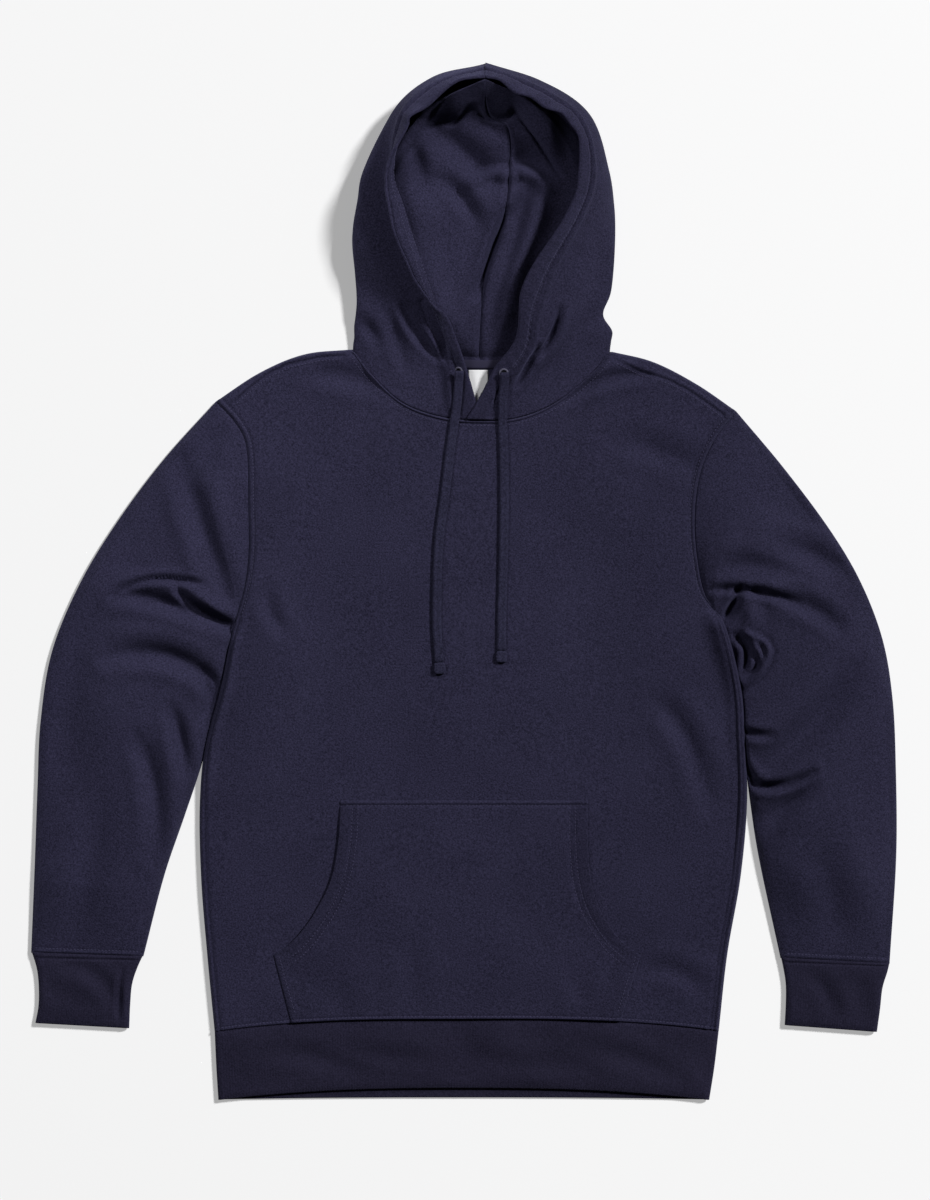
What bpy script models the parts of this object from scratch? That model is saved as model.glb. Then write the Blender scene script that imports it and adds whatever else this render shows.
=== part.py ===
"""Pullover hoodie laid flat on its back, hood open, sleeves beside the body.

Units are metres, +Z up. The back lies on z = 0, the hood points to +Y and the wearer's left is at +X.
The origin is under the middle of the garment's box. Every piece is a cloth wall: a grid of points on
its outer face and the same grid moved in by the cloth's thickness, closed along the edges.
"""

import math

import bmesh
import bpy
import numpy as np
from mathutils import Matrix, Vector
from mathutils.bvhtree import BVHTree

MM = 0.001

# Driving sizes
FLEECE = 1.8 * MM            # brushed fleece
RIB = 2.2 * MM               # folded rib
LAID = 6.6 * MM              # front and back lying on each other, with the air between them
MID = LAID / 2
EDGE = LAID / 2              # radius of a fold at the side of a flat tube
SEAM = 0.3 * MM              # clearance between sewn pieces
SLEEVE_LIFT = 3.5 * MM       # how much a sleeve's middle stands above its edges
CORD_WIDTH = 8.6 * MM
CORD_THICK = 3.4 * MM

# Where the armpit and the neck points come on the body panels, as shares of height and width
PIT = 0.62
NECK_RIGHT = 0.26
NECK_LEFT = 0.76


def table(columns, *rows):
    """Rows of millimetres or shares as arrays, one for each named column."""
    return dict(zip(columns.split(), np.array(rows, float).T))


# Outline of the body panels from the hem to the shoulder point, wearer's right then left
SIDES = table(
    "v     right_x right_y left_x left_y",
    (0.00, -236, -425.5, 242, -425),
    (0.12, -243, -353, 250, -353),
    (0.25, -249, -277, 263, -277),
    (0.37, -250, -206, 269, -206),
    (0.46, -245, -154, 267.5, -154),
    (0.55, -230, -97, 263, -97),
    (0.62, -220, -47, 246, -35),
    (0.66, -209.5, -11, 230.5, -13),
    (0.72, -204, 25, 222, 25),
    (0.80, -204, 74, 220, 69),
    (0.88, -206, 129, 226.5, 109),
    (0.94, -216, 151, 240, 138),
    (1.00, -235, 172, 259, 162.5),
)
# Top edges of the panels: shoulder, neck, shoulder
SHOULDER_RIGHT = table(
    "u     x     y",
    (0.00, -235, 172),
    (0.09, -193, 199.5),
    (0.18, -150, 217),
    (0.26, -106, 221.5),
)
NECK_FRONT = table(
    "u     x     y",
    (0.26, -106, 221.5),
    (0.31, -88, 198),
    (0.36, -62, 173.5),
    (0.43, -26, 158.5),
    (0.51, 16, 154),
    (0.59, 56, 157.5),
    (0.66, 92, 174),
    (0.71, 121, 198),
    (0.76, 140, 219.5),
)
NECK_BACK = table(
    "u     x     y",
    (0.26, -106, 221.5),
    (0.51, 16, 211),
    (0.76, 140, 219.5),
)
SHOULDER_LEFT = table(
    "u     x     y",
    (0.76, 140, 219.5),
    (0.84, 180, 209.5),
    (0.92, 221, 188.5),
    (1.00, 259, 162.5),
)
HEM_RISE = 11.5 * MM         # the hem seam bows up in the middle

# Sleeves from the armhole to the cuff seam: outer edge and inner edge of the flattened tube
SLEEVE_RIGHT = table(
    "w     outer_x outer_y inner_x inner_y",
    (0.00, -235, 172, -220, -47),
    (0.12, -283.5, 118, -222, -55),
    (0.24, -327, 60, -225, -69),
    (0.36, -363, 1, -231, -93),
    (0.48, -390, -64, -240, -129),
    (0.60, -401, -130, -252, -173),
    (0.72, -404, -192, -266, -221),
    (0.84, -406.5, -263, -283, -275),
    (1.00, -410, -350.5, -303.5, -354),
)
SLEEVE_LEFT = table(
    "w     outer_x outer_y inner_x inner_y",
    (0.00, 259, 162.5, 246, -35),
    (0.12, 304.5, 108, 252, -43),
    (0.24, 348, 49.5, 258, -58),
    (0.36, 377, 0, 264.5, -84),
    (0.48, 397.5, -54, 268, -120),
    (0.60, 407, -111, 270, -163),
    (0.72, 409.5, -176, 273, -206),
    (0.84, 410, -254, 279.5, -258),
    (1.00, 404, -361, 300.5, -355.5),
)
CUFF_RIGHT = table(
    "w     outer_x outer_y inner_x inner_y",
    (0.00, -409.5, -351, -304, -355),
    (0.18, -405, -364, -309, -364),
    (0.40, -403, -379, -314, -379),
    (0.70, -403, -400, -316, -399),
    (1.00, -406, -417, -317, -422),
)
CUFF_LEFT = table(
    "w     outer_x outer_y inner_x inner_y",
    (0.00, 404, -361.5, 301, -356),
    (0.18, 402, -368.5, 303.5, -366.5),
    (0.40, 397.5, -383, 305.5, -380),
    (0.70, 395, -404, 305.5, -400),
    (1.00, 392, -425.5, 304.5, -419),
)
WAISTBAND = table(
    "w     outer_x outer_y inner_x inner_y",
    (0.00, -236, -426, 242, -425.5),
    (0.50, -234.5, -458, 238, -458),
    (1.00, -232.5, -490, 233, -490),
)
BAND_FRONT_RISE = 11.5 * MM  # the band's front edge bows up and lets the back edge show
BAND_BACK_RISE = 2 * MM

# Largest folds of the sleeves: ridges from one end to the other
FOLDS = table(
    "x0   y0   x1   y1   wide high",
    (-330, 22, -240, -34, 21, 5),
    (-335, -40, -256, -68, 21, 4),
    (-285, -95, -285, -180, 22, 4),
    (262, 10, 352, -12, 21, 5),
    (280, -40, 295, -110, 20, 4),
    (290, -150, 345, -185, 24, 4),
)

# Hood sections from the neck to the crown: the mouth's rim, the casing's lower edge, the widest place,
# where the cloth meets the table, and the centre seam
HOOD_COLUMNS = (
    "rim_x rim_y rim_z hem_x hem_y hem_z side_x side_y side_z floor_x floor_y centre_x centre_y"
)
HOOD_RIGHT = table(
    HOOD_COLUMNS,
    (2, 201, 14, -12, 200, 8, -101, 239, 14, -94, 237, 16, 222),
    (-11, 234, 27, -24, 239, 14, -100, 262, 22, -90, 262, 16, 245),
    (-28, 260, 38, -29, 264, 17, -103, 294, 27, -91, 294, 18, 283),
    (-51, 294, 48, -42, 300, 28, -104, 322, 30, -92, 322, 25, 321),
    (-71, 347, 55, -58, 354, 34, -100, 360, 30, -89, 358, 32, 359),
    (-76, 388, 57, -69, 385, 34, -93, 391, 30, -82, 387, 33, 397),
    (-49, 429, 57, -59, 440, 42, -65, 445, 26, -52, 432, 30, 421),
    (-22, 456, 56, -26, 468, 42, -30, 473, 26, -24, 459, 24, 442),
    (18, 471, 52, 20, 483, 38, 21, 487, 24, 20, 474, 21, 459),
)
HOOD_LEFT = table(
    HOOD_COLUMNS,
    (23, 188, 15.5, 42, 184, 12, 139, 234, 16, 131, 236, 16, 222),
    (45, 224, 24, 64, 216, 20, 131, 252, 24, 124, 254, 16, 245),
    (51, 256, 34, 71, 247, 29, 139, 275, 26, 128, 277, 18, 283),
    (67, 300, 44, 87, 294, 37, 142, 313, 27, 130, 314, 25, 321),
    (95, 343, 51, 114, 347, 44, 142, 355, 27, 131, 356, 32, 359),
    (107, 389, 55, 123, 386, 46, 136, 390, 28, 124, 388, 33, 397),
    (98, 425, 56, 110, 434, 44, 116, 438, 27, 105, 428, 30, 421),
    (62, 452, 55, 68, 465, 42, 71, 471, 26, 65, 459, 24, 442),
    (18, 471, 52, 20, 483, 38, 21, 487, 24, 20, 474, 21, 459),
)
HOOD_KNOTS = (0, 0.10, 0.42, 0.56, 1)
OVERLAP_RIGHT = (17, 0)      # x of the rim at the neck seam, and how far it is raised over the other side
OVERLAP_LEFT = (3, 3.0)

POCKET = table(
    "y     right_x left_x",
    (-206, -116.5, 118),
    (-244, -118.5, 117.5),
    (-282, -126, 121),
    (-306, -137.5, 128),
    (-325, -150, 139),
    (-341, -165, 152.5),
    (-351.5, -180, 168),
    (-382, -171.5, 158),
    (-412, -163, 149),
)

TAPE_WIDTH = 8.5 * MM
TAPE_THICK = 0.8 * MM
LABEL_WIDE, LABEL_LONG, LABEL_THICK = 18.5 * MM, 36 * MM, 0.5 * MM
LABEL_MIDDLE = 14 * MM       # x of the label's middle
EYELET_RADIUS, EYELET_THREAD = 3.2 * MM, 0.8 * MM
EYELET_RIGHT = (-4.3 * MM, 200 * MM)
EYELET_LEFT = (38 * MM, 198 * MM)
END_LONG, END_WIDE, END_THICK = 11 * MM, 11 * MM, 4.4 * MM

# Drawcord routes along their middle, from the eyelet to the stitched end
CORD_RIGHT = table(
    "x     y      z",
    (-4, 200, 17.1),
    (-4.5, 190, 14.4),
    (-5.5, 177, 12.2),
    (-7, 163, 10.2),
    (-9, 150, 9),
    (-13, 122, 8.9),
    (-18, 80, 8.9),
    (-23, 42, 8.9),
    (-25, 0, 8.9),
    (-25, -45, 8.9),
    (-23, -75, 8.9),
)
CORD_LEFT = table(
    "x     y      z",
    (38.5, 198, 21.6),
    (38.5, 190, 19),
    (37.5, 178, 15.8),
    (37, 163, 12.6),
    (37, 150, 9.6),
    (38, 125, 8.9),
    (38.5, 80, 8.9),
    (38, 42, 8.9),
    (37, 0, 8.9),
    (36, -40, 8.9),
    (36, -64, 8.9),
)


# ---------------------------------------------------------------- curves

def through(knots, values, at):
    """Smooth curve that passes through the values at the knots, read at each number in at."""
    knots, values, at = (np.asarray(a, float) for a in (knots, values, at))
    steps = np.diff(values, axis=0) / np.diff(knots).reshape((-1,) + (1,) * (values.ndim - 1))
    slopes = np.concatenate([steps[:1], (steps[1:] + steps[:-1]) / 2, steps[-1:]])
    i = np.clip(np.searchsorted(knots, at, side="right") - 1, 0, len(knots) - 2)
    shape = at.shape + (1,) * (values.ndim - 1)
    span = (knots[i + 1] - knots[i]).reshape(shape)
    t = ((at - knots[i]) / (knots[i + 1] - knots[i])).reshape(shape)
    start = (2 * t**3 - 3 * t**2 + 1) * values[i] + (t**3 - 2 * t**2 + t) * span * slopes[i]
    end = (3 * t**2 - 2 * t**3) * values[i + 1] + (t**3 - t**2) * span * slopes[i + 1]
    return start + end


def pairs(rows, *columns):
    """Columns of a table side by side, in metres."""
    return np.stack([rows[c] for c in columns], axis=-1) * MM


def rounded(distance, radius=EDGE):
    """Height share of a folded edge: 0 on the fold, 1 from one radius inwards."""
    return np.sqrt(np.clip(1 - (1 - np.clip(distance, 0, radius) / radius) ** 2, 0, 1))


def quad_patch(start, end, low, high, u, v):
    """Points between four edges: start and end run along u at v = 0 and 1, low and high along v at u = 0 and 1."""
    u, v = u[..., None], v[..., None]
    corners = (1 - u) * (1 - v) * low[:1] + u * (1 - v) * high[:1] + (1 - u) * v * low[-1:] + u * v * high[-1:]
    return (1 - v) * start[None] + v * end[None] + (1 - u) * low[:, None] + u * high[:, None] - corners


def seam_offset(points, gap):
    """An open curve in the plane, moved to its left by gap."""
    along = np.gradient(points, axis=0)
    along /= np.linalg.norm(along, axis=1, keepdims=True)
    return points + gap * np.stack([-along[:, 1], along[:, 0]], axis=-1)


# ---------------------------------------------------------------- solids

def cloth(name, outer, inner, colour, ring=False, roughness=0.9):
    """One closed wall between two grids of points; a ring's last column joins its first."""
    rows, columns = outer.shape[:2]
    mesh = bmesh.new()
    faces = [[[mesh.verts.new(p) for p in row] for row in side] for side in (outer, inner)]
    steps = columns if ring else columns - 1
    for side, sheet in enumerate(faces):
        for i in range(rows - 1):
            for j in range(steps):
                k = (j + 1) % columns
                quad = [sheet[i][j], sheet[i][k], sheet[i + 1][k], sheet[i + 1][j]]
                mesh.faces.new(quad if side == 0 else quad[::-1])
    out, back = faces
    for i in (0, rows - 1):
        for j in range(steps):
            k = (j + 1) % columns
            mesh.faces.new([out[i][j], back[i][j], back[i][k], out[i][k]])
    if not ring:
        for j in (0, columns - 1):
            for i in range(rows - 1):
                mesh.faces.new([out[i][j], out[i + 1][j], back[i + 1][j], back[i][j]])
    return solid(name, mesh, colour, roughness)


def solid(name, mesh, colour, roughness=0.9):
    """A named object from a bmesh, with its own material."""
    bmesh.ops.recalc_face_normals(mesh, faces=mesh.faces)
    data = bpy.data.meshes.new(name)
    mesh.to_mesh(data)
    mesh.free()
    data.shade_smooth()
    data.set_sharp_from_angle(angle=math.radians(50))
    return link(name, data, colour, roughness)


def link(name, data, colour, roughness=0.9):
    material = bpy.data.materials.new(name)
    material.use_nodes = True
    shader = material.node_tree.nodes["Principled BSDF"]
    shader.inputs["Base Color"].default_value = (*colour, 1)
    shader.inputs["Roughness"].default_value = roughness
    shader.inputs["Metallic"].default_value = 0
    data.materials.append(material)
    thing = bpy.data.objects.new(name, data)
    bpy.context.scene.collection.objects.link(thing)
    return thing


NAVY = (0.024, 0.021, 0.050)
NAVY_RIB = (0.015, 0.013, 0.030)
WHITE = (0.78, 0.78, 0.80)


# ---------------------------------------------------------------- body

FOLD_STEPS = (0, 0.29 * EDGE, EDGE)          # places across a folded edge


def row_shares():
    """Rows of the body panels: the sides, the armpit, the armholes and the folded shoulder."""
    height = 640 * MM
    side = np.linspace(0, PIT, 7)
    pit = [PIT + s / (250 * MM) * (1 - PIT) for s in FOLD_STEPS[1:]]
    top = [1 - s / height for s in FOLD_STEPS[::-1]]
    armhole = np.linspace(pit[-1], top[0], 7)[1:-1]
    return np.concatenate([side, pit, armhole, top])


def across_shares(neck_steps):
    """Columns of the body panels: folded side, shoulder, neck, shoulder, folded side."""
    width = 500 * MM
    fold = [s / width for s in FOLD_STEPS]
    right = np.concatenate([fold, np.linspace(fold[-1], NECK_RIGHT, 4)[1:]])
    neck_right = [NECK_RIGHT + s for s in fold[1:]]
    middle = (NECK_RIGHT + NECK_LEFT) / 2
    half = np.concatenate([neck_right, np.linspace(neck_right[-1], middle, neck_steps)[1:]])
    other = (NECK_RIGHT + NECK_LEFT - half[:-1])[::-1]
    left = np.concatenate([np.linspace(NECK_LEFT, 1 - fold[-1], 4), [1 - fold[1], 1]])
    return np.concatenate([right, half, other, left])


def body_edges(v):
    """The two side edges of the body panels at the rows v."""
    right = through(SIDES["v"], pairs(SIDES, "right_x", "right_y"), v)
    left = through(SIDES["v"], pairs(SIDES, "left_x", "left_y"), v)
    return right, left


def top_edge(u, neck):
    """The top edge of a body panel: two shoulders and the given neck curve."""
    parts = []
    for rows, low, high in (
        (SHOULDER_RIGHT, -1, NECK_RIGHT),
        (neck, NECK_RIGHT, NECK_LEFT),
        (SHOULDER_LEFT, NECK_LEFT, 2),
    ):
        inside = u[(u > low) & (u <= high)]
        parts.append(through(rows["u"], pairs(rows, "x", "y"), inside))
    return np.concatenate(parts)


def hem_edge(u):
    """The seam between the body and the waistband."""
    right, left = body_edges(np.array([0.0]))
    line = (1 - u)[:, None] * right + u[:, None] * left
    line[:, 1] += HEM_RISE * (1 - np.abs(2 * u - 1) ** 3)
    return line


def body_panel(name, neck, neck_steps, facing):
    """Front (facing 1) or back (facing -1): flat, folded at the sides and shoulders, open at the neck."""
    u, v = across_shares(neck_steps), row_shares()
    right, left = body_edges(v)
    uu, vv = np.meshgrid(u, v)
    points = quad_patch(hem_edge(u), top_edge(u, neck), right, left, uu, vv)
    width = np.linalg.norm(left - right, axis=1)[:, None]
    side = np.minimum(uu, 1 - uu) * width
    above_pit = np.clip(vv - PIT, 0, 1) * 250 * MM / (1 - PIT)
    below_top = (1 - vv) * 640 * MM
    inside_neck = np.clip(np.minimum(uu - NECK_RIGHT, NECK_LEFT - uu), 0, 1) * width
    side_open, neck_open = rounded(above_pit), rounded(inside_neck)
    full = (1 - (1 - rounded(side)) * (1 - side_open)) * (1 - (1 - rounded(below_top)) * (1 - neck_open))
    start = SEAM / 2
    outer = np.dstack([points, MID + facing * (start + (MID - start) * full)])
    inner = np.dstack([points, MID + facing * (start + (MID - FLEECE - start) * full)])
    tuck_side = FLEECE * np.clip(1 - side / EDGE, 0, 1) * (1 - side_open)
    tuck_top = FLEECE * np.clip(1 - below_top / EDGE, 0, 1) * (1 - neck_open)
    inner[..., 0] += np.where(uu < 0.5, tuck_side, -tuck_side)
    inner[..., 1] -= tuck_top
    return cloth(name, outer, inner, NAVY)


# ---------------------------------------------------------------- sleeves, cuffs, waistband

def ridge_height(x, y):
    """Height that the folds add at a place in the plane."""
    total = np.zeros_like(x)
    for x0, y0, x1, y1, wide, high in pairs(FOLDS, "x0", "y0", "x1", "y1", "wide", "high"):
        dx, dy = x1 - x0, y1 - y0
        t = np.clip(((x - x0) * dx + (y - y0) * dy) / (dx * dx + dy * dy), 0, 1)
        away = np.hypot(x - x0 - t * dx, y - y0 - t * dy)
        total += high * np.sin(math.pi * (0.1 + 0.8 * t)) * np.exp(-((away / wide) ** 2))
    return total


def flat_tube(name, rows, w, across, wall, first=None, lift=0.0, last_rise=(0, 0), folds=False, colour=NAVY):
    """A flattened ring of cloth: its top half runs from the outer edge to the inner one, its lower half back.

    first is the curve of the opening at w = 0 where it isn't straight, read at the same shares across."""
    outer_edge = through(rows["w"], pairs(rows, "outer_x", "outer_y"), w)
    inner_edge = through(rows["w"], pairs(rows, "inner_x", "inner_y"), w)
    qq, ww = np.meshgrid(across, w)
    ends = [outer_edge[0], inner_edge[0]], [outer_edge[-1], inner_edge[-1]]
    start, end = ((1 - across)[:, None] * e[0] + across[:, None] * e[1] for e in ends)
    points = quad_patch(start if first is None else first, end, outer_edge, inner_edge, qq, ww)
    width = np.linalg.norm(inner_edge - outer_edge, axis=1)[:, None]
    if first is not None:
        width[0] = 250 * MM
    near, far = qq * width, (1 - qq) * width
    full = rounded(near) * rounded(far)
    tuck = wall * (np.clip(1 - near / EDGE, 0, 1) - np.clip(1 - far / EDGE, 0, 1))
    along = inner_edge - outer_edge
    along /= np.linalg.norm(along, axis=1, keepdims=True)
    shift = tuck[..., None] * along[:, None]
    raised = lift * np.sin(math.pi * qq) * np.clip(np.minimum(ww, 1 - ww) / 0.12, 0, 1)
    if folds:
        fade = np.clip(np.minimum(ww, 1 - ww) / 0.05, 0, 1) * np.clip(np.minimum(near, far) / (8 * MM), 0, 1)
        raised = raised + ridge_height(points[..., 0], points[..., 1]) * fade
    bow = (1 - np.abs(2 * qq - 1) ** 2.5) * ww
    layers = []
    for facing, lifted, rise in ((1, raised, last_rise[0]), (-1, 0 * raised, last_rise[1])):
        moved = points.copy()
        moved[..., 1] += rise * bow
        outer = np.dstack([moved, MID + facing * MID * full + lifted])
        inner = np.dstack([moved + shift, MID + facing * (MID - wall) * full + lifted])
        layers.append((outer, inner))
    (top_out, top_in), (low_out, low_in) = layers
    outer = np.concatenate([top_out, low_out[:, -2:0:-1]], axis=1)
    inner = np.concatenate([top_in, low_in[:, -2:0:-1]], axis=1)
    return cloth(name, outer, inner, colour, ring=True)


def sleeve(name, rows, side):
    """A set-in sleeve whose opening follows the body's armhole, point for point."""
    v = row_shares()
    v = v[v >= PIT - 1e-9][::-1]
    armhole = body_edges(v)[side > 0]
    across = (1 - v) / (1 - PIT)
    w = np.concatenate([[0, 0.035], np.linspace(0.09, 0.45, 7), np.linspace(0.55, 1, 5)])
    rows = {c: a.copy() for c, a in rows.items()}
    first = seam_offset(armhole, side * SEAM * np.where(across < 0.02, 2.6, 1.9)[:, None])
    for edge, place in (("outer", first[0]), ("inner", first[-1])):
        rows[edge + "_x"][0], rows[edge + "_y"][0] = place / MM
    return flat_tube(name, rows, w, across, FLEECE, first=first, lift=SLEEVE_LIFT, folds=True)


def ring_shares(width, steps):
    fold = [s / width for s in FOLD_STEPS]
    return np.concatenate([fold[:-1], np.linspace(fold[-1], 1 - fold[-1], steps), [1 - fold[1], 1]])


def cuff(name, rows):
    return flat_tube(name, rows, np.array([0, 0.12, 0.3, 0.6, 1]), ring_shares(95 * MM, 5), RIB, colour=NAVY_RIB)


def waistband():
    """The band's top edge follows the hem seam; its front edge bows up more than its back edge."""
    across = ring_shares(475 * MM, 9)
    first = hem_edge(across) - np.array([0, 1.6 * SEAM])
    rows = {c: a.copy() for c, a in WAISTBAND.items()}
    for edge, place in (("outer", first[0]), ("inner", first[-1])):
        rows[edge + "_x"][0], rows[edge + "_y"][0] = place / MM
    w = np.array([0, 0.33, 0.66, 1])
    rise = (BAND_FRONT_RISE, BAND_BACK_RISE)
    return flat_tube("waistband", rows, w, across, RIB, first=first, last_rise=rise, colour=NAVY_RIB)


# ---------------------------------------------------------------- hood

# Columns of a hood panel from the rim to the centre seam; the seventh lies at the neck point
PROFILE = np.array([0, 0.05, 0.10, 0.19, 0.28, 0.37, 0.42, 0.47, 0.515, 0.56, 0.70, 0.85, 1])


def neck_row(side, overlap):
    """The hood's sewn edge: from the rim along the front neck, round the neck point, along the back neck."""
    rim_x, lift = overlap
    middle = (NECK_RIGHT + NECK_LEFT) / 2
    columns = across_shares(5)
    half = columns[(columns >= NECK_RIGHT) & (columns <= middle + 1e-9)]
    shares = half if side < 0 else NECK_RIGHT + NECK_LEFT - half
    full = rounded(np.abs(shares - shares[0]) * 500 * MM)
    front = through(NECK_FRONT["u"], pairs(NECK_FRONT, "x", "y"), shares)
    back = through(NECK_BACK["u"], pairs(NECK_BACK, "x", "y"), shares)
    front[-1, 0] = rim_x * MM
    front = seam_offset(front, -side * 1.2 * SEAM)
    back = seam_offset(back, -side * 1.2 * SEAM)
    back[-1, 0] = middle_x()
    raised = lift * MM * np.clip(1 - np.arange(len(half))[::-1] / 2, 0, 1)
    over = np.column_stack([front, MID + MID * full + raised])
    under = np.column_stack([back, MID - MID * full])
    return np.concatenate([over[:0:-1], (over[:1] + under[:1]) / 2, under[1:]])


def middle_x():
    return HOOD_RIGHT["centre_x"][0] * MM


def hood_surface(rows, side, overlap, up):
    """Outer face of half the hood: from the mouth's rim, over the widest place, to the centre seam."""
    sections = [neck_row(side, overlap)]
    for k in range(len(rows["rim_x"])):
        row = {c: a[k] * MM for c, a in rows.items()}
        knots = [
            (row["rim_x"], row["rim_y"], row["rim_z"]),
            (row["hem_x"], row["hem_y"], row["hem_z"]),
            (row["side_x"], row["side_y"], row["side_z"] * 0.55),
            (row["floor_x"], row["floor_y"], 0),
            (row["centre_x"], row["centre_y"], 0),
        ]
        sections.append(through(HOOD_KNOTS, knots, PROFILE))
    sheet = through(np.linspace(0, 1, len(sections)), np.array(sections), up)
    sheet[..., 2] = np.maximum(sheet[..., 2], 0)
    sheet[:, -1, 0] += side * SEAM / 2
    sheet[-1, :, 0] += side * SEAM / 2
    return sheet


def outward(sheet, side):
    """Unit normals of a grid of points, away from the cavity; straight down where the cloth lies on the table."""
    normal = side * np.cross(np.gradient(sheet, axis=1), np.gradient(sheet, axis=0))
    normal[:, -1, 0] = 0
    normal[-1, :, 0] = 0
    normal[sheet[..., 2] < 0.05 * MM] = (0, 0, -1)
    return normal / np.linalg.norm(normal, axis=2, keepdims=True)


def hood_panel(name, rows, side, overlap):
    first = 1 / len(rows["rim_x"])
    up = np.concatenate([np.linspace(0, first, 3), np.linspace(first, 1, 13)[1:]])
    outer = hood_surface(rows, side, overlap, up)
    return cloth(name, outer, outer - outward(outer, side) * FLEECE, NAVY)


# ---------------------------------------------------------------- pocket, tape, label

def pocket():
    """The pocket lies on the front panel; its bottom edge is caught in the hem seam."""
    v = np.linspace(0, 1, len(POCKET["y"]))
    right, left = pairs(POCKET, "right_x", "y"), pairs(POCKET, "left_x", "y")
    u = np.linspace(0, 1, 9)
    uu = np.tile(u, (len(v), 1))[..., None]
    points = (1 - uu) * right[:, None] + uu * left[:, None]
    flat = np.full(points.shape[:2], LAID + SEAM)
    return cloth("pocket", np.dstack([points, flat + FLEECE]), np.dstack([points, flat]), NAVY)


def strip(name, points, across, low, thick, colour):
    """A flat strip of cloth: a line of points and the same line moved across."""
    plan = np.stack([points, points + across], axis=1)
    flat = np.full(plan.shape[:2], low)
    return cloth(name, np.dstack([plan, flat + thick]), np.dstack([plan, flat]), colour)


def neck_tape():
    u = np.linspace(NECK_RIGHT + 0.05, NECK_LEFT - 0.05, 11)
    line = through(NECK_BACK["u"], pairs(NECK_BACK, "x", "y"), u)
    strip("neck_tape", line, np.array([0, -TAPE_WIDTH]), FLEECE + SEAM, TAPE_THICK, NAVY)


def neck_label():
    x = LABEL_MIDDLE + LABEL_WIDE * np.array([-0.5, 0.5])
    top = 211 * MM - TAPE_WIDTH - SEAM
    line = np.column_stack([x, [top, top]])
    strip("neck_label", line, np.array([0, -LABEL_LONG]), FLEECE + SEAM, LABEL_THICK, WHITE)


# ---------------------------------------------------------------- drawcord

def surface_of(thing):
    """The faces of a piece, to be asked for heights."""
    return BVHTree.FromPolygons([v.co for v in thing.data.vertices], [p.vertices for p in thing.data.polygons])


def eyelet(name, panel, place):
    """A sewn ring of thread that lies on the casing and follows its faces."""
    tree = surface_of(panel)
    tube = np.linspace(0, 2 * math.pi, 7)[:-1]
    mesh = bmesh.new()
    rings = []
    for angle in np.linspace(0, 2 * math.pi, 15)[:-1]:
        out = Vector((math.cos(angle), math.sin(angle), 0))
        top = tree.ray_cast(Vector((*place, 1)) + out * EYELET_RADIUS, Vector((0, 0, -1)))[0]
        middle = top + Vector((0, 0, SEAM + 1.3 * EYELET_THREAD))
        rings.append([
            mesh.verts.new(middle + EYELET_THREAD * (out * math.cos(a) + Vector((0, 0, math.sin(a)))))
            for a in tube
        ])
    for i, ring in enumerate(rings):
        after = rings[(i + 1) % len(rings)]
        for j in range(len(tube)):
            k = (j + 1) % len(tube)
            mesh.faces.new([ring[j], ring[k], after[k], after[j]])
    return solid(name, mesh, NAVY_RIB)


def drawcord(name, route):
    """A flat cord of self cloth, as a strip with round edges along its route."""
    points = pairs(route, "x", "y", "z")
    length = np.concatenate([[0], np.cumsum(np.linalg.norm(np.diff(points, axis=0), axis=1))])
    places = through(length, points, np.linspace(0, length[-1], 14))
    data = bpy.data.curves.new(name, "CURVE")
    data.dimensions = "3D"
    data.fill_mode = "FULL"
    data.twist_mode = "Z_UP"
    data.bevel_depth = CORD_THICK / 2
    data.extrude = (CORD_WIDTH - CORD_THICK) / 2
    data.bevel_resolution = 2
    data.use_fill_caps = True
    line = data.splines.new("POLY")
    line.points.add(len(places) - 1)
    for point, place in zip(line.points, places):
        point.co = (*place, 1)
        point.tilt = math.pi / 2
    return link(name, data, NAVY)


def cord_end(name, route):
    """The cord's end turned back on itself and stitched: a short flat block after the cord's last point."""
    points = pairs(route, "x", "y", "z")
    along = points[-1] - points[-2]
    along /= np.linalg.norm(along)
    centre = points[-1] + along * (END_LONG / 2 + SEAM)
    centre[2] = LAID + SEAM + END_THICK / 2
    mesh = bmesh.new()
    bmesh.ops.create_cube(mesh, size=1)
    bmesh.ops.scale(mesh, vec=(END_WIDE, END_LONG, END_THICK), verts=mesh.verts)
    bmesh.ops.bevel(mesh, geom=list(mesh.edges), offset=1.2 * MM, segments=2, profile=0.5, affect="EDGES")
    across = math.atan2(along[1], along[0]) + math.pi / 2
    bmesh.ops.transform(mesh, matrix=Matrix.Translation(centre) @ Matrix.Rotation(across, 4, "Z"), verts=mesh.verts)
    return solid(name, mesh, NAVY)


# ---------------------------------------------------------------- assembly

def clear_scene():
    for thing in list(bpy.data.objects):
        bpy.data.objects.remove(thing)


clear_scene()
body_panel("body_front", NECK_FRONT, 5, 1)
body_panel("body_back", NECK_BACK, 5, -1)
sleeve("sleeve_right", SLEEVE_RIGHT, -1)
sleeve("sleeve_left", SLEEVE_LEFT, 1)
cuff("cuff_right", CUFF_RIGHT)
cuff("cuff_left", CUFF_LEFT)
waistband()
panel_right = hood_panel("hood_right", HOOD_RIGHT, -1, OVERLAP_RIGHT)
panel_left = hood_panel("hood_left", HOOD_LEFT, 1, OVERLAP_LEFT)
pocket()
neck_tape()
neck_label()
eyelet("eyelet_right", panel_right, EYELET_RIGHT)
eyelet("eyelet_left", panel_left, EYELET_LEFT)
drawcord("drawcord_right", CORD_RIGHT)
drawcord("drawcord_left", CORD_LEFT)
cord_end("cord_end_right", CORD_RIGHT)
cord_end("cord_end_left", CORD_LEFT)
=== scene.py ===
import math

import bmesh
import bpy
import numpy as np
from mathutils import Matrix, Vector
from mathutils.bvhtree import BVHTree


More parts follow.
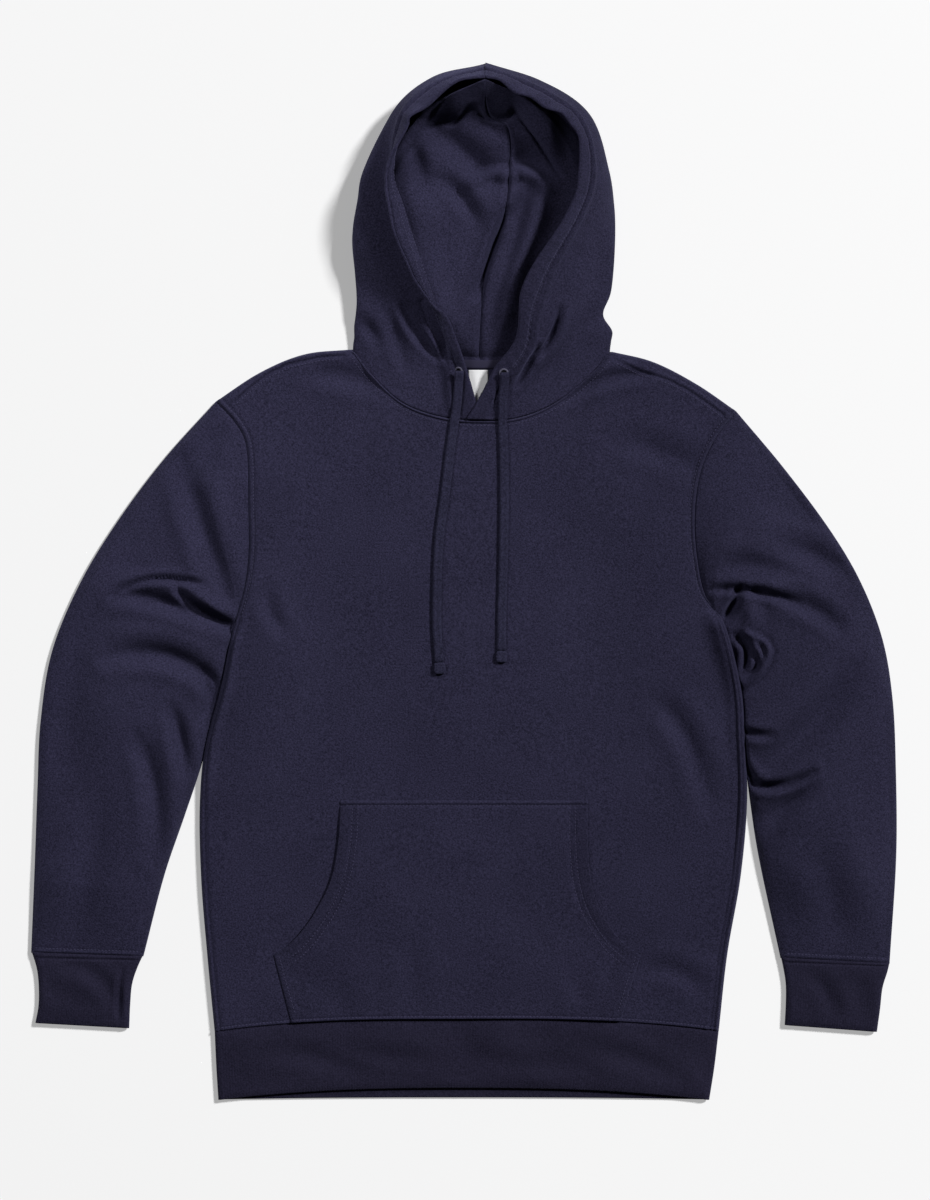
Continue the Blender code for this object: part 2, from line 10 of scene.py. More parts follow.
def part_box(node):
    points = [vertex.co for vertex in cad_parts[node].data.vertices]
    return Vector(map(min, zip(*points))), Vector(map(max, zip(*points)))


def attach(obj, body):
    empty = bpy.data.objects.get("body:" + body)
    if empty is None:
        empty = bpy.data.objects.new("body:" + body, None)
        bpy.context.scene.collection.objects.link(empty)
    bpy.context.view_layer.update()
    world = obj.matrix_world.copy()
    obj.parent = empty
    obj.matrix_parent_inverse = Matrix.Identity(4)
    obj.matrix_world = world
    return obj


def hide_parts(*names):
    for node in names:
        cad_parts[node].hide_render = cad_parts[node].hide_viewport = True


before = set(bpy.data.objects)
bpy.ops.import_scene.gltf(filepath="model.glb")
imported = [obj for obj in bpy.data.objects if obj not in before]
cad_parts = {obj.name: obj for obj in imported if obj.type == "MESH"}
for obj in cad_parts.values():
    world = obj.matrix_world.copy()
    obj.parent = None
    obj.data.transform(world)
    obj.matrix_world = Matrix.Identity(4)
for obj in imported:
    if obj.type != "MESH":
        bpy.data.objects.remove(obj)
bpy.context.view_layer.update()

MM = 0.001


# ---------------------------------------------------------------- camera
# The garment is seen from straight above the middle of the surface it lies on, through a long lens.

CAMERA_PLACE = (1.4, -16.15, 2690)
eye = bpy.data.cameras.new("camera")
eye.lens = 85
eye.sensor_fit = "VERTICAL"
eye.sensor_height = 36
camera = bpy.data.objects.new("camera", eye)
camera.location = [c * MM for c in CAMERA_PLACE]
bpy.context.scene.collection.objects.link(camera)
bpy.context.scene.camera = camera
bpy.context.scene.view_settings.view_transform = "Standard"


# ---------------------------------------------------------------- drawcord
# A flat cord of the hoodie's own knit, 8.6 mm wide with a groove along it, runs in the mouth's casing.
# Its two free ends lie on the chest. Each is turned back on itself and stitched.

def table(columns, *rows):
    """Rows of millimetres or shares as arrays, one for each named column."""
    return dict(zip(columns.split(), np.array(rows, float).T))


def places(rows, *columns):
    """Columns of a table side by side."""
    return np.stack([rows[c] for c in columns], axis=-1)


def through(knots, values, at):
    """Smooth curve that passes through the values at the knots, read at each number in at."""
    knots, values, at = (np.asarray(a, float) for a in (knots, values, at))
    steps = np.diff(values, axis=0) / np.diff(knots).reshape((-1,) + (1,) * (values.ndim - 1))
    slopes = np.concatenate([steps[:1], (steps[1:] + steps[:-1]) / 2, steps[-1:]])
    i = np.clip(np.searchsorted(knots, at, side="right") - 1, 0, len(knots) - 2)
    shape = at.shape + (1,) * (values.ndim - 1)
    span = (knots[i + 1] - knots[i]).reshape(shape)
    t = ((at - knots[i]) / (knots[i + 1] - knots[i])).reshape(shape)
    start = (2 * t**3 - 3 * t**2 + 1) * values[i] + (t**3 - 2 * t**2 + t) * span * slopes[i]
    end = (3 * t**2 - 2 * t**3) * values[i + 1] + (t**3 - t**2) * span * slopes[i + 1]
    return start + end


def groove(distance, wide):
    """1 on a line, falling off softly within a width of it."""
    return np.exp(-((distance / wide) ** 2))


def lengths(points):
    """Distance along a line of points, at each of them."""
    return np.concatenate([[0], np.cumsum(np.linalg.norm(np.diff(points, axis=0), axis=1))])


def curve(rows, at, *columns):
    """A table's columns, or all but the first, as smooth curves read at places of its first column."""
    first, *others = rows
    return through(rows[first], places(rows, *(columns or others)), at)


class Yarn:
    """A number in a cloth's shader, to write sums with."""

    def __init__(self, cloth, socket):
        self.cloth = cloth
        self.socket = socket

    def joined(self, operation, first, second):
        made = self.cloth.node("ShaderNodeMath", {"operation": operation}, {0: first, 1: second})
        return Yarn(self.cloth, made.outputs[0])

    def __add__(self, other):
        return self.joined("ADD", self, other)

    def __sub__(self, other):
        return self.joined("SUBTRACT", self, other)

    def __mul__(self, other):
        return self.joined("MULTIPLY", self, other)


class Cloth:
    """A fabric's material and its nodes."""

    def __init__(self, name, sheen):
        self.material = bpy.data.materials.new(name)
        self.material.use_nodes = True
        self.tree = self.material.node_tree
        self.shader = self.tree.nodes["Principled BSDF"]
        self.shader.inputs["Metallic"].default_value = 0
        self.shader.inputs["Specular IOR Level"].default_value = 0.1
        self.shader.inputs["Sheen Weight"].default_value = sheen
        self.shader.inputs["Sheen Tint"].default_value = (0.5, 0.5, 0.95, 1)
        self.shader.inputs["Sheen Roughness"].default_value = 0.5

    def node(self, kind, settings, sockets):
        made = self.tree.nodes.new(kind)
        for setting, value in settings.items():
            setattr(made, setting, value)
        for socket, value in sockets.items():
            value = getattr(value, "socket", value)
            if isinstance(value, bpy.types.NodeSocket):
                self.tree.links.new(value, made.inputs[socket])
            else:
                made.inputs[socket].default_value = value
        return made

    def where(self, source="Object"):
        """Object coordinates in metres, or the grain along the cloth as UV."""
        return self.node("ShaderNodeTexCoord", {}, {}).outputs[source]

    def noise(self, at, scale, detail=2.0, roughness=0.5):
        sockets = {"Vector": at, "Scale": scale, "Detail": detail, "Roughness": roughness}
        return Yarn(self, self.node("ShaderNodeTexNoise", {}, sockets).outputs["Fac"])

    def mixed(self, share, first, second):
        sockets = {0: share, 6: (*first, 1), 7: (*second, 1)}
        return self.node("ShaderNodeMix", {"data_type": "RGBA"}, sockets).outputs[2]

    def finish(self, colour, roughness, height, depth):
        """Joins colour, roughness and the height of the surface to the shader."""
        bump = self.node("ShaderNodeBump", {}, {"Height": height, "Distance": depth, "Strength": 1.0})
        for socket, value in (("Base Color", colour), ("Roughness", roughness), ("Normal", bump.outputs[0])):
            self.tree.links.new(getattr(value, "socket", value), self.shader.inputs[socket])
        return self.material


WALE = 0.9


def brushed_knit(name, light, dark, sheen, speckle=2.2):
    """Brushed fleece knit: fine wales blurred by nap, with speckles of lighter and darker yarn."""
    cloth = Cloth(name, sheen)
    spot = cloth.where()
    grain = cloth.where(source="UV")
    broad = cloth.noise(spot, 14.0, 3.0, 0.55)
    clump = cloth.noise(spot, 330.0, 2.0, 0.6)
    yarn = cloth.noise(spot, 640.0, 2.0, 0.75)
    across = cloth.node("ShaderNodeSeparateXYZ", {}, {0: grain}).outputs[0]
    turn = Yarn(cloth, across) * (2 * math.pi / (WALE * MM)) + clump * 5.0
    wales = Yarn(cloth, cloth.node("ShaderNodeMath", {"operation": "SINE"}, {0: turn}).outputs[0])
    share = yarn * speckle + clump * 0.3 + broad * 0.35 + wales * 0.04 - (speckle + 0.65) * 0.5 + 0.5
    colour = cloth.mixed(share, dark, light)
    height = yarn * 0.8 + clump * 0.6 + wales * 0.12
    return cloth.finish(colour, clump * 0.2 + 0.78, height, 0.5 * MM)


FLEECE = brushed_knit("fleece", (0.0350, 0.0325, 0.0700), (0.0065, 0.0060, 0.0165), 0.10)
CORD_KNIT = brushed_knit("cord_knit", (0.0325, 0.0315, 0.0655), (0.0058, 0.0054, 0.0152), 0.08)


def laid_grid(name, points, grain, material, wall=0.0, ring=False, flip=False, thick=None):
    """Cloth from rows of points: an even grid whose corners go to them, with a wall if it has one."""
    rows, columns = points.shape[:2]
    mesh = bmesh.new()
    bmesh.ops.create_grid(mesh, x_segments=columns - 1, y_segments=rows - 1, size=0.5)
    weave = mesh.loops.layers.uv.new("grain")
    for face in mesh.faces:
        for corner in face.loops:
            corner[weave].uv = [(corner.vert.co[k] + 0.5) * grain[k] * MM for k in range(2)]
    weights = []
    for vert in mesh.verts:
        row = round((vert.co.y + 0.5) * (rows - 1))
        column = round((vert.co.x + 0.5) * (columns - 1))
        vert.co = points[row, column] * MM
        weights.append(1.0 if thick is None else float(thick[row, column]))
    if flip:
        bmesh.ops.reverse_faces(mesh, faces=mesh.faces)
    if ring:
        bmesh.ops.remove_doubles(mesh, verts=mesh.verts, dist=1e-6)
    piece = as_piece(name, mesh, material)
    if thick is not None:
        piece.vertex_groups.new(name="thick")
        for index, weight in enumerate(weights):
            piece.vertex_groups["thick"].add([index], weight, "REPLACE")
    if wall:
        shell = piece.modifiers.new("wall", "SOLIDIFY")
        shell.thickness = wall * MM
        shell.offset = -1
        if thick is not None:
            shell.vertex_group = "thick"
    return piece


def as_piece(name, mesh, material):
    data = bpy.data.meshes.new(name)
    mesh.to_mesh(data)
    mesh.free()
    data.shade_smooth()
    data.materials.append(material)
    piece = bpy.data.objects.new(name, data)
    bpy.context.scene.collection.objects.link(piece)
    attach(piece, "root")
    return piece


CORD_WIDE, CORD_THICK, CORD_ROUND = 8.6, 3.4, 22
CHEST_TOP = 6.9                     # height at which the cords' ends lie
CORD_ROUTES = {
    "right": table(
        "x     y      z",
        (-4, 200, 16.8),
        (-4.5, 190, 13.8),
        (-5.5, 177, 11.2),
        (-7, 163, 9),
        (-9, 150, 8.8),
        (-13, 122, 8.9),
        (-18, 80, 8.9),
        (-23, 42, 8.9),
        (-25, 0, 8.9),
        (-25, -45, 8.9),
        (-23, -75, 8.9),
    ),
    "left": table(
        "x     y      z",
        (38.5, 198, 20.8),
        (38.5, 190, 17.4),
        (37.5, 178, 14.1),
        (37, 163, 11.6),
        (37, 150, 9),
        (38, 125, 8.9),
        (38.5, 80, 8.9),
        (38, 42, 8.9),
        (37, 0, 8.9),
        (36, -40, 8.9),
        (36, -64, 8.9),
    ),
}


def cord_skin(route, around=20, step=3):
    """Rows of points round a flat cord, with a groove along the middle of its two sides."""
    points = places(route, "x", "y", "z")
    total = lengths(points)[-1]
    middle = through(lengths(points), points, np.linspace(0, total, round(total / step) + 1))
    along = np.gradient(middle, axis=0)
    along /= np.linalg.norm(along, axis=1, keepdims=True)
    side = np.cross(along, (0, 0, 1))
    side /= np.linalg.norm(side, axis=1, keepdims=True)
    up = np.cross(side, along)
    angle = np.linspace(0, 2 * math.pi, around + 1)
    across = np.sign(np.cos(angle)) * np.abs(np.cos(angle)) ** 0.8 * CORD_WIDE / 2
    upright = np.abs(np.sin(angle))
    high = np.sign(np.sin(angle)) * (upright**0.8 * CORD_THICK / 2 - 0.8 * groove(across, 1.1) * upright)
    return middle, middle[:, None] + side[:, None] * across[None, :, None] + up[:, None] * high[None, :, None]


def capped(piece):
    """Closes the two ends of a tube."""
    mesh = bmesh.new()
    mesh.from_mesh(piece.data)
    bmesh.ops.holes_fill(mesh, edges=[e for e in mesh.edges if e.is_boundary], sides=0)
    bmesh.ops.recalc_face_normals(mesh, faces=mesh.faces)
    mesh.to_mesh(piece.data)
    mesh.free()
    piece.data.shade_smooth()


def cord_tab(name, middle):
    """The turned-back end: a short thicker fold of the cord with a dent where it is stitched down."""
    long, wide, thick = 11, 11, 4.4
    along = middle[-1] - middle[-3]
    turn = math.atan2(along[1], along[0]) + math.pi / 2
    centre = Vector(middle[-1]) + Vector(along).normalized() * (long / 2 + 0.3)
    centre.z = CHEST_TOP + thick / 2
    mesh = bmesh.new()
    bmesh.ops.create_cube(mesh, size=1)
    bmesh.ops.subdivide_edges(mesh, edges=mesh.edges, cuts=7, use_grid_fill=True)
    for vert in mesh.verts:
        x, y, z = (2 * c for c in vert.co)
        square = (abs(x) ** 4 + abs(y) ** 4 + abs(z) ** 4) ** 0.25
        vert.co = Vector((x, y, z)) / max(square, 1e-6) * max(abs(x), abs(y), abs(z)) / 2
        fold = 0.2 * groove(y - 0.25, 0.16) + 0.16 * groove(x, 0.22) * (y < 0.2)
        vert.co.z *= 1 - fold
    bmesh.ops.scale(mesh, vec=(wide, long, thick), verts=mesh.verts)
    place = Matrix.Scale(MM, 4) @ Matrix.Translation(centre) @ Matrix.Rotation(turn, 4, "Z")
    bmesh.ops.transform(mesh, matrix=place, verts=mesh.verts)
    return as_piece(name, mesh, CORD_KNIT)


for hand, route in CORD_ROUTES.items():
    middle, skin = cord_skin(route)
    length = lengths(middle)[-1]
    cord = laid_grid("drawstring_" + hand, skin, (CORD_ROUND, length), CORD_KNIT, ring=True)
    capped(cord)
    tab = cord_tab("drawstring_end_" + hand, middle)
    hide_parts("drawcord_" + hand)
    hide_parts("cord_end_" + hand)
    path = [tuple(point) for point in middle * MM]


# ---------------------------------------------------------------- front and back
# Two panels of brushed fleece, joined at the shoulders and down the sides. The front lies on the back with a
# little air between them, and both turn over a soft fold at their sides.

LAID = 6.6                          # height of the front's upper face, with the back below it
MID = LAID / 2
HALF_GAP = 0.15                     # half the least air between front and back
WALL = 1.8
BODY_WIDE, BODY_HIGH = 500, 620      # a panel between its folds and from hem to shoulder
BODY_GRAIN, ARMHOLE = 640, 250       # lengths of a panel's cut and of its armhole
PIT, NECK_RIGHT, NECK_LEFT = 0.62, 0.26, 0.76
SIDES = table(
    "v     right_x right_y left_x left_y",
    (0.00, -236, -425.5, 242, -425),
    (0.12, -243, -353, 250, -353),
    (0.25, -249, -277, 263, -277),
    (0.37, -250, -206, 269, -206),
    (0.46, -245, -154, 267.5, -154),
    (0.55, -230, -97, 263, -97),
    (0.62, -220, -47, 246, -35),
    (0.66, -209.5, -11, 230.5, -13),
    (0.72, -204, 25, 222, 25),
    (0.80, -204, 74, 220, 69),
    (0.88, -206, 129, 226.5, 109),
    (0.94, -216, 151, 240, 138),
    (1.00, -235, 172, 259, 162.5),
)
SHOULDER_RIGHT = table(
    "u     x     y",
    (0.00, -235, 172),
    (0.09, -193, 199.5),
    (0.18, -150, 217),
    (0.26, -106, 221.5),
)
NECK_FRONT = table(
    "u     x     y",
    (0.26, -106, 221.5),
    (0.31, -88, 198),
    (0.36, -62, 173.5),
    (0.43, -26, 158.5),
    (0.51, 16, 154),
    (0.59, 56, 157.5),
    (0.66, 92, 174),
    (0.71, 121, 198),
    (0.76, 140, 219.5),
)
NECK_BACK = table(
    "u     x     y",
    (0.26, -106, 221.5),
    (0.51, 16, 211),
    (0.76, 140, 219.5),
)
SHOULDER_LEFT = table(
    "u     x     y",
    (0.76, 140, 219.5),
    (0.84, 180, 209.5),
    (0.92, 221, 188.5),
    (1.00, 259, 162.5),
)
# The shoulder seams lie in front of the shoulders' folded edge
SHOULDER_SEAM_RIGHT = table(
    "x     y",
    (-216, 172),
    (-198, 188),
    (-184, 198),
    (-165, 207),
    (-136, 213.5),
    (-113, 215),
)
SHOULDER_SEAM_LEFT = table(
    "x     y",
    (144, 211),
    (168, 200),
    (182, 196),
    (196, 191),
    (215, 181),
    (234, 168),
    (246, 159),
)
HEM_RISE = 11.5
# The side seam's roll below the left armpit: its height and how wide it falls off
SIDE_ROLL = table(
    "y     high wide",
    (-330, 2.6, 4.5),
    (-210, 3.6, 5.5),
    (-120, 6.0, 8.0),
    (-60, 13.0, 14.0),
)
# Each fold follows a bent line through three points. Lean makes it steeper on one side.
FOLD_COLUMNS = "x0   y0   x1   y1   x2   y2   wide deep lean"
BODY_FOLDS = table(
    FOLD_COLUMNS,
    (-142, 200, -112, 197, -80, 188, 9, 4.2, 0.5),
    (-184, -8, -181, -28, -170, -45, 7, 4.0, 0.6),
    (98, 176, 130, 192, 172, 199, 6, 5.5, 0.7),
    (149, 137, 187, 126, 239, 103, 11, 3.0, 0.6),
    (188, -112, 214, -147, 234, -206, 10, 4.0, 0.8),
    (168, -366, 200, -366, 229, -385, 9, 2.6, 0.5),
    (-180, -330, -150, -372, -120, -395, 16, 1.2, 0.3),
    (-120, 60, -60, 30, -70, -60, 40, 0.9, 0),
    (90, 40, 130, -20, 110, -110, 45, 0.9, 0),
)


def nearest(line, x, y):
    """How far places in the plane lie to the left of a line of points, and at which share of its way."""
    best = np.full(x.shape, 1e9)
    signed, share = np.zeros(x.shape), np.zeros(x.shape)
    for k in range(len(line) - 1):
        run = line[k + 1] - line[k]
        s = np.clip(((x - line[k][0]) * run[0] + (y - line[k][1]) * run[1]) / (run @ run), 0, 1)
        dx, dy = x - line[k][0] - s * run[0], y - line[k][1] - s * run[1]
        away = np.hypot(dx, dy)
        closer = away < best
        best = np.where(closer, away, best)
        signed = np.where(closer, np.sign(run[0] * dy - run[1] * dx) * away, signed)
        share = np.where(closer, (k + s) / (len(line) - 1), share)
    return signed, share


def folded(x, y, rows):
    """Height that folds add at places: a soft trough with lips, steeper on one side where it leans."""
    total = np.zeros_like(x)
    for x0, y0, x1, y1, x2, y2, wide, deep, lean in places(rows, *rows):
        t = np.linspace(0, 1, 15)[:, None]
        control = 2 * np.array((x1, y1)) - np.array((x0 + x2, y0 + y2)) / 2
        line = (1 - t) ** 2 * np.array((x0, y0)) + 2 * t * (1 - t) * control + t**2 * np.array((x2, y2))
        box_low, box_high = line.min(0) - 4 * wide, line.max(0) + 4 * wide
        near = (x > box_low[0]) & (x < box_high[0]) & (y > box_low[1]) & (y < box_high[1])
        signed, share = nearest(line, x[near], y[near])
        d = signed / wide
        bell = groove(d, 1)
        lips = 0.4 * groove(np.abs(d) - 1.9, 0.9)
        ease = 0.3 + 0.7 * np.sin(math.pi * share) ** 0.7
        total[near] += deep * ease * (lips - bell + lean * d * bell)
    return total


def uneven(x, y, size, seed):
    """Slow, uneven waves of cloth that was laid down by hand, from -1 to 1."""
    draw = np.random.default_rng(seed)
    total = np.zeros_like(x)
    for _ in range(7):
        heading, phase = draw.uniform(0, 2 * math.pi, 2)
        long = size * draw.uniform(0.7, 1.6)
        total += np.sin((x * math.cos(heading) + y * math.sin(heading)) * 2 * math.pi / long + phase)
    return total / 4


def soft_edge(distance, radius):
    """0 on a folded edge, rising to 1 at a radius from it."""
    return np.sqrt(np.clip(1 - (1 - np.clip(distance, 0, radius) / radius) ** 2, 0, 1))


def ramp(value, reach):
    """0 below 0, rising evenly to 1 at reach."""
    return np.clip(value / reach, 0, 1)


def stitched_edge(distance):
    """Height beside a sewn seam: a crease on it, a low ridge and the dent of the topstitching 5 mm away."""
    return (
        1.4 * groove(distance - 2.8, 1.7)
        - 1.6 * groove(distance, 1.2)
        - 0.8 * groove(distance - 5.2, 0.9)
    )


def quad_patch(start, end, low, high, u, v):
    """Points between four edges: start and end at v = 0 and 1, low and high at u = 0 and 1."""
    u, v = u[..., None], v[..., None]
    corners = (1 - u) * ((1 - v) * low[:1] + v * low[-1:]) + u * ((1 - v) * high[:1] + v * high[-1:])
    return (1 - v) * start[None] + v * end[None] + (1 - u) * low[:, None] + u * high[:, None] - corners


def side_edges(v):
    """The wearer's right and left edges of the body panels at the shares v of their height."""
    return curve(SIDES, v, "right_x", "right_y"), curve(SIDES, v, "left_x", "left_y")


def top_edge(u, neck):
    """The top edge of a body panel: a shoulder, the neck and the other shoulder."""
    parts = []
    for rows, low, high in (
        (SHOULDER_RIGHT, -1, NECK_RIGHT),
        (neck, NECK_RIGHT, NECK_LEFT),
        (SHOULDER_LEFT, NECK_LEFT, 2),
    ):
        parts.append(curve(rows, u[(u > low) & (u <= high)]))
    return np.concatenate(parts)


def hem_edge(u):
    """The seam between the body and the waistband."""
    right, left = side_edges(np.array([0.0]))
    line = (1 - u)[:, None] * right + u[:, None] * left
    line[:, 1] += HEM_RISE * (1 - np.abs(2 * u - 1) ** 3)
    return line


def body_plan(u, v, neck):
    """Where the points of a body panel lie in the plane, and how far each is from the edges round it."""
    right, left = side_edges(v)
    uu, vv = np.meshgrid(u, v)
    plan = quad_patch(hem_edge(u), top_edge(u, neck), right, left, uu, vv)
    width = np.linalg.norm(left - right, axis=1)[:, None]
    far = {
        "side": np.minimum(uu, 1 - uu) * width,
        "above_pit": np.clip(vv - PIT, 0, 1) * ARMHOLE / (1 - PIT),
        "top": (1 - vv) * BODY_HIGH,
        "inside_neck": np.clip(np.minimum(uu - NECK_RIGHT, NECK_LEFT - uu), 0, 1) * width,
        "hem": vv * BODY_HIGH,
    }
    return plan, far


def full_height(far, turn):
    """1 inside a body panel, falling to 0 where it turns over at its sides and shoulders."""
    side = 1 - (1 - soft_edge(far["side"], turn)) * (1 - soft_edge(far["above_pit"], 12))
    top = 1 - (1 - soft_edge(far["top"], turn)) * (1 - soft_edge(far["inside_neck"], 8))
    return side * top


def side_rolls(x, y, side):
    """Rolls of the front beside its sides below the armpits, by the distance from the side."""
    pit_left = ramp(x - 100, 20) * ramp(-24 - y, 16) * ramp(y + 330, 110)
    pit_right = (x < 0) * ramp(-42 - y, 16) * ramp(y + 215, 60)
    roll, flank = (np.interp(y, SIDE_ROLL["y"], SIDE_ROLL[c]) for c in ("high", "wide"))
    slope = groove(np.maximum(side - 6, 0), flank) * ramp(side, 4) ** 0.5
    height = (roll * slope - 2.4 * groove(side - 9.5, 1.5)) * pit_left
    height += 5.2 * groove(side - 7, 4.6) * pit_right
    return height + 5.5 * groove(y + 90, 130) * groove(np.abs(x - 15) - 205, 45) * ramp(side, 8)


def front_seams(x, y, far):
    """Relief of the seams round the front, over its shoulders and down its left side."""
    height = stitched_edge(far["side"]) + stitched_edge(far["hem"] * 1.6)
    height += stitched_edge(far["top"]) * np.where(far["inside_neck"] > 0, 1, 0.3)
    for rows, deep in (SHOULDER_SEAM_RIGHT, 1.6), (SHOULDER_SEAM_LEFT, 0.9):
        outwards, _ = nearest(places(rows, "x", "y"), x, y)
        height += deep * (0.8 * groove(outwards - 3.0, 2.0) - groove(outwards, 1.5))
    from_seam = far["side"] - 8.5
    left_seam = 0.9 * (groove(from_seam - 2.2, 1.4) - groove(from_seam, 1.0))
    return height + left_seam * ramp(x - 100, 20) * ramp(-110 - y, 60)


def body_front_points(u, v):
    """The front, over the back: its rolls and seams, waves that are quieter under the cords, and folds."""
    plan, far = body_plan(u, v, NECK_FRONT)
    x, y = plan[..., 0], plan[..., 1]
    inner = ramp(np.minimum(far["side"], np.minimum(far["top"], far["hem"])), 45)
    under_cords = groove(x - 7, 48) * (y > -110)
    height = MID + HALF_GAP + (MID - HALF_GAP) * full_height(far, 11)
    height += side_rolls(x, y, far["side"]) + front_seams(x, y, far)
    height += uneven(x, y, 170, 3) * 1.1 * inner * (1 - 0.85 * under_cords)
    height += folded(x, y, BODY_FOLDS) * np.clip(inner * 4, 0, 1)
    return np.dstack([plan, np.maximum(height, MID * 0.9)])


def body_back_points(u, v):
    plan, far = body_plan(u, v, NECK_BACK)
    return np.dstack([plan, (MID - HALF_GAP) * (1 - full_height(far, 7))])


def edged(length, step, reach=9, fine=0.9):
    """Shares of a length: fine steps near both ends, where cloth folds or is sewn, and even ones between."""
    ends = np.arange(0, reach, fine)
    middle = np.linspace(reach, length - reach, max(2, round((length - 2 * reach) / step)))
    return np.concatenate([ends, middle, length - ends[::-1]]) / length


front_skin = body_front_points(edged(BODY_WIDE, 3.1), edged(BODY_HIGH, 3.3, 22, 1.1))
front = laid_grid("front_panel", front_skin, (BODY_WIDE, BODY_GRAIN), FLEECE, WALL)
back_skin = body_back_points(edged(BODY_WIDE, 6), edged(BODY_HIGH, 7))
back = laid_grid("back_panel", back_skin, (BODY_WIDE, BODY_GRAIN), FLEECE, WALL, flip=True)
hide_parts("body_front")
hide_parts("body_back")


# ---------------------------------------------------------------- stitching
# Navy thread in stitches of about 2.7 mm, lighter than the fleece as painted highlight along the seams.
# Topstitching lies in a slight groove that it pulls in the cloth.

def thread(name, colour):
    """Twisted polyester thread with a faint gloss."""
    cloth = Cloth(name, 0.05)
    twist = cloth.noise(cloth.where(), 1500.0, 1.0)
    shade = cloth.mixed(twist, tuple(0.6 * c for c in colour), colour)
    return cloth.finish(shade, twist * 0.2 + 0.5, twist, 0.05 * MM)


# Navy thread whose colour is partly real and partly lightened as painted highlight: the light lines along
# seam ridges
THREAD_WITH_PAINTED_HIGHLIGHT = thread("navy_thread_painted_highlight", (0.064, 0.060, 0.118))


def surface_of(*pieces):
    """The faces of pieces as one tree, to be asked where cloth lies under a point."""
    corners, faces = [], []
    for piece in pieces:
        start = len(corners)
        corners += [v.co / MM for v in piece.data.vertices]
        faces += [[start + i for i in p.vertices] for p in piece.data.polygons]
    return BVHTree.FromPolygons(corners, faces)


def cloth_below(tree, x, y):
    """Where cloth lies below a place in the plane, and its normal there, upwards; None where none lies."""
    hit, normal, _, _ = tree.ray_cast(Vector((x, y, 1000)), Vector((0, 0, -1)))
    return hit, -normal if hit is not None and normal.z < 0 else normal


def shifted(points, gap):
    """A line in the plane, moved to its left by gap."""
    along = np.gradient(points, axis=0)
    along /= np.linalg.norm(along, axis=1, keepdims=True)
    return points + gap * np.stack([-along[:, 1], along[:, 0]], axis=-1)


def dropped(line, tree):
    """Points of a line in the plane where they meet the cloth below them, and the cloth's normals there."""
    found, normals = [], []
    for x, y in line:
        hit, normal = cloth_below(tree, x, y)
        if hit is not None:
            found.append(hit)
            normals.append(normal)
    return np.array(found), np.array(normals)


def sewn(mesh, points, normals, long=2.7, gap=0.6, thick=0.8):
    """Adds stitches along a line that lies on cloth: each is a small rounded lozenge."""
    at = lengths(points)
    for start in np.arange(gap, at[-1] - long, long + gap):
        ends = [np.array([np.interp(s, at, points[:, k]) for k in range(3)]) for s in (start, start + long)]
        up = Vector([np.interp(start, at, normals[:, k]) for k in range(3)]).normalized()
        run = Vector(ends[1] - ends[0])
        if run.length < long * 0.5:
            continue
        along = run.normalized()
        side = up.cross(along).normalized()
        turn = Matrix((along, side, along.cross(side))).transposed().to_4x4()
        size = Matrix.Diagonal((run.length / 2, thick / 2, thick * 0.4, 1))
        middle = Vector((ends[0] + ends[1]) / 2) + up * 0.1
        lozenge = Matrix.Scale(MM, 4) @ Matrix.Translation(middle) @ turn @ size
        bmesh.ops.create_icosphere(mesh, subdivisions=1, radius=1, matrix=lozenge)


def seam(name, lines, tree):
    """Topstitching along lines in the plane, dropped on the cloth."""
    mesh = bmesh.new()
    for line in lines:
        even = np.linspace(0, 1, max(3, round(lengths(line)[-1] / 1.5)))
        share = lengths(line) / lengths(line)[-1]
        line = np.column_stack([np.interp(even, share, line[:, k]) for k in (0, 1)])
        sewn(mesh, *dropped(line, tree))
    piece = as_piece(name, mesh, THREAD_WITH_PAINTED_HIGHLIGHT)


TOPSTITCH = 5                       # from a seam to its topstitching
front_faces = surface_of(front)
armhole_right, armhole_left = side_edges(np.linspace(PIT + 0.02, 0.985, 60))
neck_line = curve(NECK_FRONT, np.linspace(NECK_RIGHT + 0.01, NECK_LEFT - 0.01, 90))
seam("body_topstitching", [
    shifted(armhole_right, -TOPSTITCH),
    shifted(armhole_left, TOPSTITCH),
    shifted(neck_line, -TOPSTITCH),
    shifted(hem_edge(np.linspace(0.012, 0.988, 160)), 3.1),
    places(SHOULDER_SEAM_RIGHT, "x", "y") - (0, 3),
    places(SHOULDER_SEAM_LEFT, "x", "y") - (0, 3),
], front_faces)


# ---------------------------------------------------------------- hood
# Two fleece panels with a seam over the head. The mouth's edge is turned in as a casing 16 mm wide, sewn with
# two rows, and it waves a little. The hood lies open on its back, its left side lapped over its right.

HOOD_COLUMNS = "rim_x rim_y rim_z hem_x hem_y hem_z side_x side_y side_z floor_x floor_y centre_x centre_y"
HOOD_RIGHT = table(
    HOOD_COLUMNS,
    (2, 201, 14, -12, 200, 8, -101, 239, 14, -94, 237, 16, 222),
    (-11, 234, 27, -24, 239, 18, -100, 262, 25, -90, 262, 16, 245),
    (-28, 260, 38, -31, 264, 28, -103, 294, 32, -91, 294, 18, 283),
    (-51, 294, 48, -42, 300, 37, -104, 322, 38, -92, 322, 25, 321),
    (-71, 347, 55, -58, 354, 41, -100, 360, 40, -89, 358, 32, 359),
    (-76, 388, 57, -69, 385, 42, -93, 391, 38, -82, 387, 33, 397),
    (-49, 429, 57, -59, 440, 42, -65, 445, 26, -52, 432, 30, 421),
    (-22, 456, 56, -26, 468, 42, -30, 473, 26, -24, 459, 24, 442),
    (18, 471, 52, 20, 483, 38, 21, 487, 24, 20, 474, 21, 459),
)
